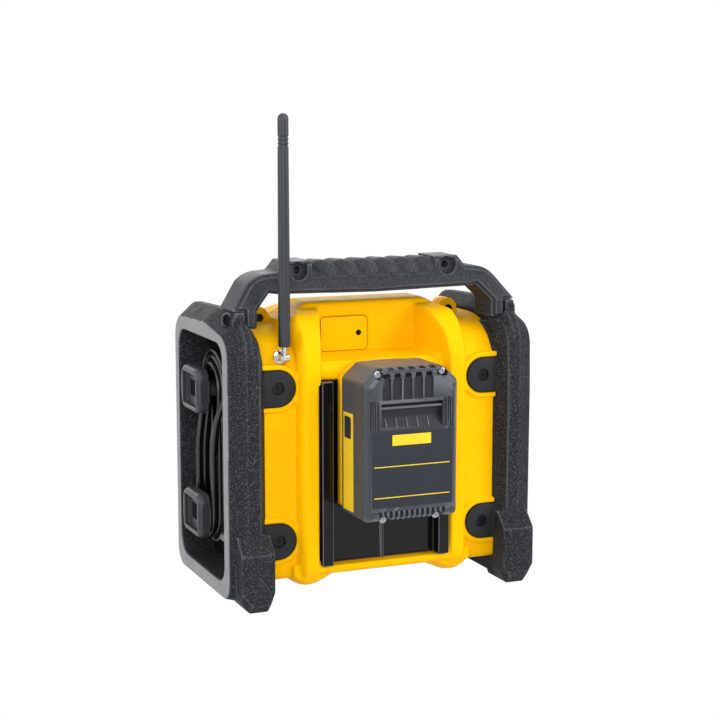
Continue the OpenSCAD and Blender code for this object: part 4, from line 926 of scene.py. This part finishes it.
def add_cleats():
    """Pillow-shaped heads with a deep window, in whose middle a black plate of painted shade stands for a
    dark hole.
    """
    heads = Form().cad("cleats").loose()
    pillows = Form()
    windows = Form()
    holes = Form()
    start = CLEAT_X - HEAD_ROUND
    for z in CLEAT_ZS:
        rings = [cleat_ring(z, 1.5, CLEAT_X - 11), cleat_ring(z, 0, CLEAT_X - 9.5)]
        for k in range(7):
            a = math.radians(90 * k / 6)
            rings.append(cleat_ring(z, HEAD_IN * (1 - math.cos(a)), start + HEAD_ROUND * math.sin(a)))
        pillows.loft(rings)
        windows.prism(cleat_window(z, 18, 13, 2), "x", CLEAT_X - 5.1, CLEAT_X + 1)
        # A thin black plate at the window's floor: painted shade of a hole
        holes.prism(cleat_window(z, 10, 6.4, 0.6), "x", CLEAT_X - 6, CLEAT_X - 4.9)
    carve(heads, pillows, "UNION")
    carve(heads, windows)
    melt(heads, voxel=0.6, rounds=3, faces=50000)
    finish_piece(heads, "cleat_heads", "radio", CLEAT_GREY, ["cleats"], smooth=0)
    finish_piece(holes.loose(), "cleat_hole_shade", "radio", PAINTED_SHADE_BLACK)


# CAD forms whose edges only need rounding: node, body, material, slot and rounding
SMALL_PARTS = [
    # The bay liner's bevels take a painted edge highlight
    ("bay_liner", "radio", (BAY_GLOSS, BAY_EDGE_HIGHLIGHT), "bay_gloss", 0.5),
    ("pack_release", "pack_button", GREY_PLASTIC, "grey_plastic", 0.6),
    ("plug_body", "radio", LEAD_RUBBER, "lead_rubber", 1.2),
    ("volume_knob", "volume_control", BLACK_PLASTIC, "black_plastic", 0.5),
    ("tuning_knob", "tuning_control", BLACK_PLASTIC, "black_plastic", 0.5),
]


def add_small_parts():
    """The small parts with rounded edges; one with two materials is lined."""
    for name, body, material, slot, width in SMALL_PARTS:
        part = bevelled(Form().cad(name).loose(), width, 3, lined=isinstance(material, tuple))
        finish_piece(part, name + "_piece", body, material, [name], smooth=11)


# An arc's angles and steps that give the 48 points of a whole circle
CIRCLE = (0, 352.5, 47)
# Black rings of painted shade behind the grilles
RING_OUTER_R = 31.5
RING_INNER_R = 22


def add_front():
    """The speakers' grilles and the control panel as soft mouldings, and a black ring of
    painted shade behind each grille's slots, over the edge of the casing's hole."""
    for name in ("speaker_grilles", "control_panel"):
        part = melt(Form().cad(name, flat=0).loose(), voxel=0.5, rounds=2, faces=90000)
        finish_piece(part, name + "_piece", "radio", BLACK_PLASTIC, [name], smooth=0)
    outline = arc(SPEAKER_X, SPEAKER_Z, RING_OUTER_R, *CIRCLE)
    disc = Form().prism(outline, "y", FRONT_Y + 0.75, FRONT_Y + 1.25)
    hole = Form().rod((SPEAKER_X, FRONT_Y - 2, SPEAKER_Z), (SPEAKER_X, FRONT_Y + 4, SPEAKER_Z),
                      RING_INNER_R, sides=48)
    rings = carve(disc.mirrored().loose(), hole.mirrored())
    finish_piece(rings, "grille_shade_rings", "radio", PAINTED_SHADE_BLACK)


add_casing()
add_memory_door()
add_end_frames()
add_tab_covers()
add_handle()
add_pack_cover()
add_pack_screws()
add_pack_trim()
add_pack_labels()
add_pack_base()
add_cleats()
add_small_parts()
add_front()

# ---- camera -------------------------------------------------------------------

# The camera's place, the point it looks at and its lens, all fitted to the photograph
CAMERA_SPOT = (521.6, 1258.9, 384.9)
CAMERA_AIM = (-6.57, 0, 177.09)
CAMERA_LENS = 84.84
SENSOR_WIDTH = 36.0


def add_camera():
    """The camera of the photograph."""
    data = bpy.data.cameras.new("camera")
    data.lens = CAMERA_LENS
    data.sensor_width = SENSOR_WIDTH
    data.clip_start = 0.05
    data.clip_end = 20.0
    cam = bpy.data.objects.new("camera", data)
    bpy.context.scene.collection.objects.link(cam)
    cam.location = P(*CAMERA_SPOT)
    cam.rotation_mode = "QUATERNION"
    cam.rotation_quaternion = (P(*CAMERA_AIM) - cam.location).to_track_quat("-Z", "Y")
    bpy.context.scene.camera = cam


add_camera()

# ---- mains lead ---------------------------------------------------------------

# Diameter of the lead, and its way from its boot to the cleats and from there to the plug
LEAD_D = 5.0
FEED = [(111, 20, 181.5), (111, 20, 174.5), (111.6, 19, 167), (112.8, 16.2, 159.5),
        (114.3, 12, 152), (115.6, 7.6, 144.5), (116.6, 3.4, 137), (117.1, 0, 129),
        (117.3, -2.6, 121), (117.4, -4.3, 113), (117.4, -5.4, 104)]
TAIL = [(109.6, 4.8, 122), (109.6, 5.3, 115), (109.6, 7.4, 108), (109.6, 10.8, 101.5),
        (109.6, 14.8, 95.5), (109.6, 18.6, 90), (109.6, 20, 86), (109.6, 20, 82.5)]
# Radii of the three layers wound round the cleats
INNER = 19.6
OUTER = 24.7
THIRD = 29.8
# One entry a turn: radius and X before and after its climb on the far side, and where on
# that side it starts and ends
TURNS = [
    (INNER, 117.4, INNER, 112.25, 0.45, 1.0),
    (INNER, 112.25, INNER, 107.1, 0.45, 1.0),
    (INNER, 107.1, OUTER, 104.7, 0.45, 1.0),
    (OUTER, 104.7, OUTER, 109.9, 0.0, 0.5),
    (OUTER, 109.9, THIRD, 109.6, 0.1, 0.9),
]
# How far the last turn's near side bows out, and how many times sooner than its radius a
# strand that changes its layer changes its X
BOW = 0.6
SOONER = 2.2
# Steps along the near and the far side of a turn and round its ends, steps of the curve
# between two points, and the distance between points in the end
NEAR_STEPS = 8
FAR_STEPS = 16
END_STEPS = 12
CURVE_STEPS = 8
LEAD_STEP = 4.0


def smooth(t):
    """From 0 to 1 as t does, without a kink at either end."""
    t = min(1.0, max(0.0, t))
    return t * t * (3 - 2 * t)


def end_turn(x, r, z, way):
    """Points of the half turn round a cleat: below it where way is 1, above where -1."""
    points = []
    for k in range(1 if way < 0 else 0, END_STEPS):
        t = math.pi * k / END_STEPS
        points.append(Vector((x, CLEAT_Y + way * r * math.cos(t), z - way * r * math.sin(t))))
    return points


def lead_points():
    """The lead from its boot, five times round both cleats, and down to the plug."""
    z0, z1 = CLEAT_ZS
    pts = [Vector(p) for p in FEED]
    for i, (r0, x0, r1, x1, a, b) in enumerate(TURNS):
        first = 1 if i == 0 else 0
        start = FEED[-1][2] if i == 0 else z1
        bow = BOW if i == len(TURNS) - 1 else 0
        for k in range(first, NEAR_STEPS):
            z = start + (z0 - start) * k / NEAR_STEPS
            wave = math.sin(math.pi * (z - z0) / (z1 - z0)) * bow
            pts.append(Vector((x0, CLEAT_Y + r0 + max(0, wave), z)))
        pts += end_turn(x0, r0, z0, 1)
        for k in range(FAR_STEPS + 1):
            f = k / FAR_STEPS
            s = smooth((f - a) / (b - a))
            early = smooth((f - a) / (b - a) * SOONER)
            r = r0 + (r1 - r0) * s
            x = x0 + (x1 - x0) * (early if r1 != r0 else s)
            pts.append(Vector((x, CLEAT_Y - r, z0 + (z1 - z0) * f)))
        pts += end_turn(x1, r1, z1, -1)
    tail_x = TAIL[0][0]
    tail_z = TAIL[0][2]
    z = z1
    while z > tail_z + 4:
        pts.append(Vector((tail_x, CLEAT_Y + THIRD, z)))
        z -= 10
    pts += [Vector(p) for p in TAIL]
    return pts


def evened(pts, step):
    """Points along a smooth curve through pts, a step apart."""
    dense = []
    n = len(pts)
    for i in range(n - 1):
        p0 = pts[max(i - 1, 0)]
        p1 = pts[i]
        p2 = pts[i + 1]
        p3 = pts[min(i + 2, n - 1)]
        for k in range(CURVE_STEPS):
            t = k / CURVE_STEPS
            dense.append(0.5 * ((2 * p1) + (p2 - p0) * t + (2 * p0 - 5 * p1 + 4 * p2 - p3) * t * t
                                + (3 * p1 - p0 - 3 * p2 + p3) * t * t * t))
    dense.append(pts[-1])
    out = [dense[0]]
    left = step
    for a, b in zip(dense, dense[1:]):
        d = (b - a).length
        while d >= left and d > 0:
            a = a + (b - a) * (left / d)
            out.append(a)
            d = (b - a).length
            left = step
        left -= d
    if (out[-1] - dense[-1]).length > step * 0.5:
        out.append(dense[-1])
    else:
        out[-1] = dense[-1]
    return out


def add_lead():
    """The mains lead as one cord along its route."""
    route = evened(lead_points(), LEAD_STEP)
    curve = bpy.data.curves.new("lead", "CURVE")
    curve.dimensions = "3D"
    curve.bevel_depth = 1.0
    curve.bevel_resolution = 5
    curve.use_fill_caps = True
    line = curve.splines.new("POLY")
    line.points.add(len(route) - 1)
    for point, p in zip(line.points, route):
        point.co = (*P(*p), 1)
        point.radius = LEAD_D / 2 / MM
    lead = bpy.data.objects.new("lead", curve)
    bpy.context.scene.collection.objects.link(lead)
    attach(lead, "radio")
    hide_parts("lead_winding", "lead_feed", "lead_tail")
    for p in lead.data.splines:
        p.use_smooth = True
    return lead


lead = add_lead()
lead.data.materials.append(LEAD_RUBBER)

# ---- stage --------------------------------------------------------------------

# Strength and tint of the light round the object, half the floor's width in metres, and
# the floor's grey
WORLD_DIM = 0.42
WORLD_TINT = (0.93, 0.95, 1.0, 1)
FLOOR_HALF = 4
FLOOR_GREY = (0.9, 0.9, 0.9, 1)
# The point that all lamps look at, in metres
LAMP_AIM = Vector((0, 0, 0.13))


def white_when_seen(tree, dim):
    """White to the camera and in reflections, and dim where it only lights."""
    nodes = tree.nodes
    links = tree.links
    path = nodes.new("ShaderNodeLightPath")
    seen = path.outputs["Is Camera Ray"]
    for ray in ("Is Glossy Ray", "Is Transmission Ray"):
        either = nodes.new("ShaderNodeMath")
        either.operation = "MAXIMUM"
        links.new(seen, either.inputs[0])
        links.new(path.outputs[ray], either.inputs[1])
        seen = either.outputs["Value"]
    white = nodes.new("ShaderNodeEmission")
    mix = nodes.new("ShaderNodeMixShader")
    links.new(seen, mix.inputs["Fac"])
    links.new(dim, mix.inputs[1])
    links.new(white.outputs["Emission"], mix.inputs[2])
    return mix.outputs["Shader"]


def add_world(scene):
    """A white backdrop that lights only dimly."""
    world = bpy.data.worlds.new("studio")
    scene.world = world
    world.use_nodes = True
    tree = world.node_tree
    tree.nodes.clear()
    out = tree.nodes.new("ShaderNodeOutputWorld")
    dim = tree.nodes.new("ShaderNodeBackground")
    dim.inputs["Color"].default_value = WORLD_TINT
    dim.inputs["Strength"].default_value = WORLD_DIM
    tree.links.new(white_when_seen(tree, dim.outputs["Background"]), out.inputs["Surface"])


def add_floor(scene):
    """A white floor that sends back some light."""
    h = FLOOR_HALF
    mesh = bpy.data.meshes.new("floor")
    mesh.from_pydata([(-h, -h, 0), (h, -h, 0), (h, h, 0), (-h, h, 0)], [], [(0, 1, 2, 3)])
    floor = bpy.data.objects.new("floor", mesh)
    scene.collection.objects.link(floor)
    material = bpy.data.materials.new("floor")
    material.use_nodes = True
    tree = material.node_tree
    tree.nodes.clear()
    out = tree.nodes.new("ShaderNodeOutputMaterial")
    diffuse = tree.nodes.new("ShaderNodeBsdfDiffuse")
    diffuse.inputs["Color"].default_value = FLOOR_GREY
    tree.links.new(white_when_seen(tree, diffuse.outputs["BSDF"]), out.inputs["Surface"])
    mesh.materials.append(material)


def add_stage():
    """The backdrop and the floor, shown without a film's colour curve."""
    scene = bpy.context.scene
    scene.view_settings.view_transform = "Standard"
    add_world(scene)
    add_floor(scene)


def add_light(name, spot, size, power):
    """A rectangular lamp at a spot in metres, of a size in metres and a power in watts."""
    data = bpy.data.lights.new(name, "AREA")
    data.shape = "RECTANGLE"
    data.size, data.size_y = size
    data.energy = power
    lamp = bpy.data.objects.new(name, data)
    bpy.context.scene.collection.objects.link(lamp)
    lamp.location = spot
    lamp.rotation_mode = "QUATERNION"
    lamp.rotation_quaternion = (LAMP_AIM - Vector(spot)).to_track_quat("-Z", "Y")


add_stage()
add_light("key", (-1.7, 1.3, 1.1), (1.0, 1.2), 30)
add_light("top", (0.1, 0.5, 1.9), (1.4, 1.4), 14)
add_light("back", (0.9, 2.2, 0.9), (1.4, 1.4), 22)
add_light("side", (1.9, 0.3, 0.8), (0.8, 1.3), 12)
add_light("front", (-0.3, -1.9, 0.9), (1.4, 1.2), 14)

# ---- finish -------------------------------------------------------------------

bpy.context.view_layer.update()
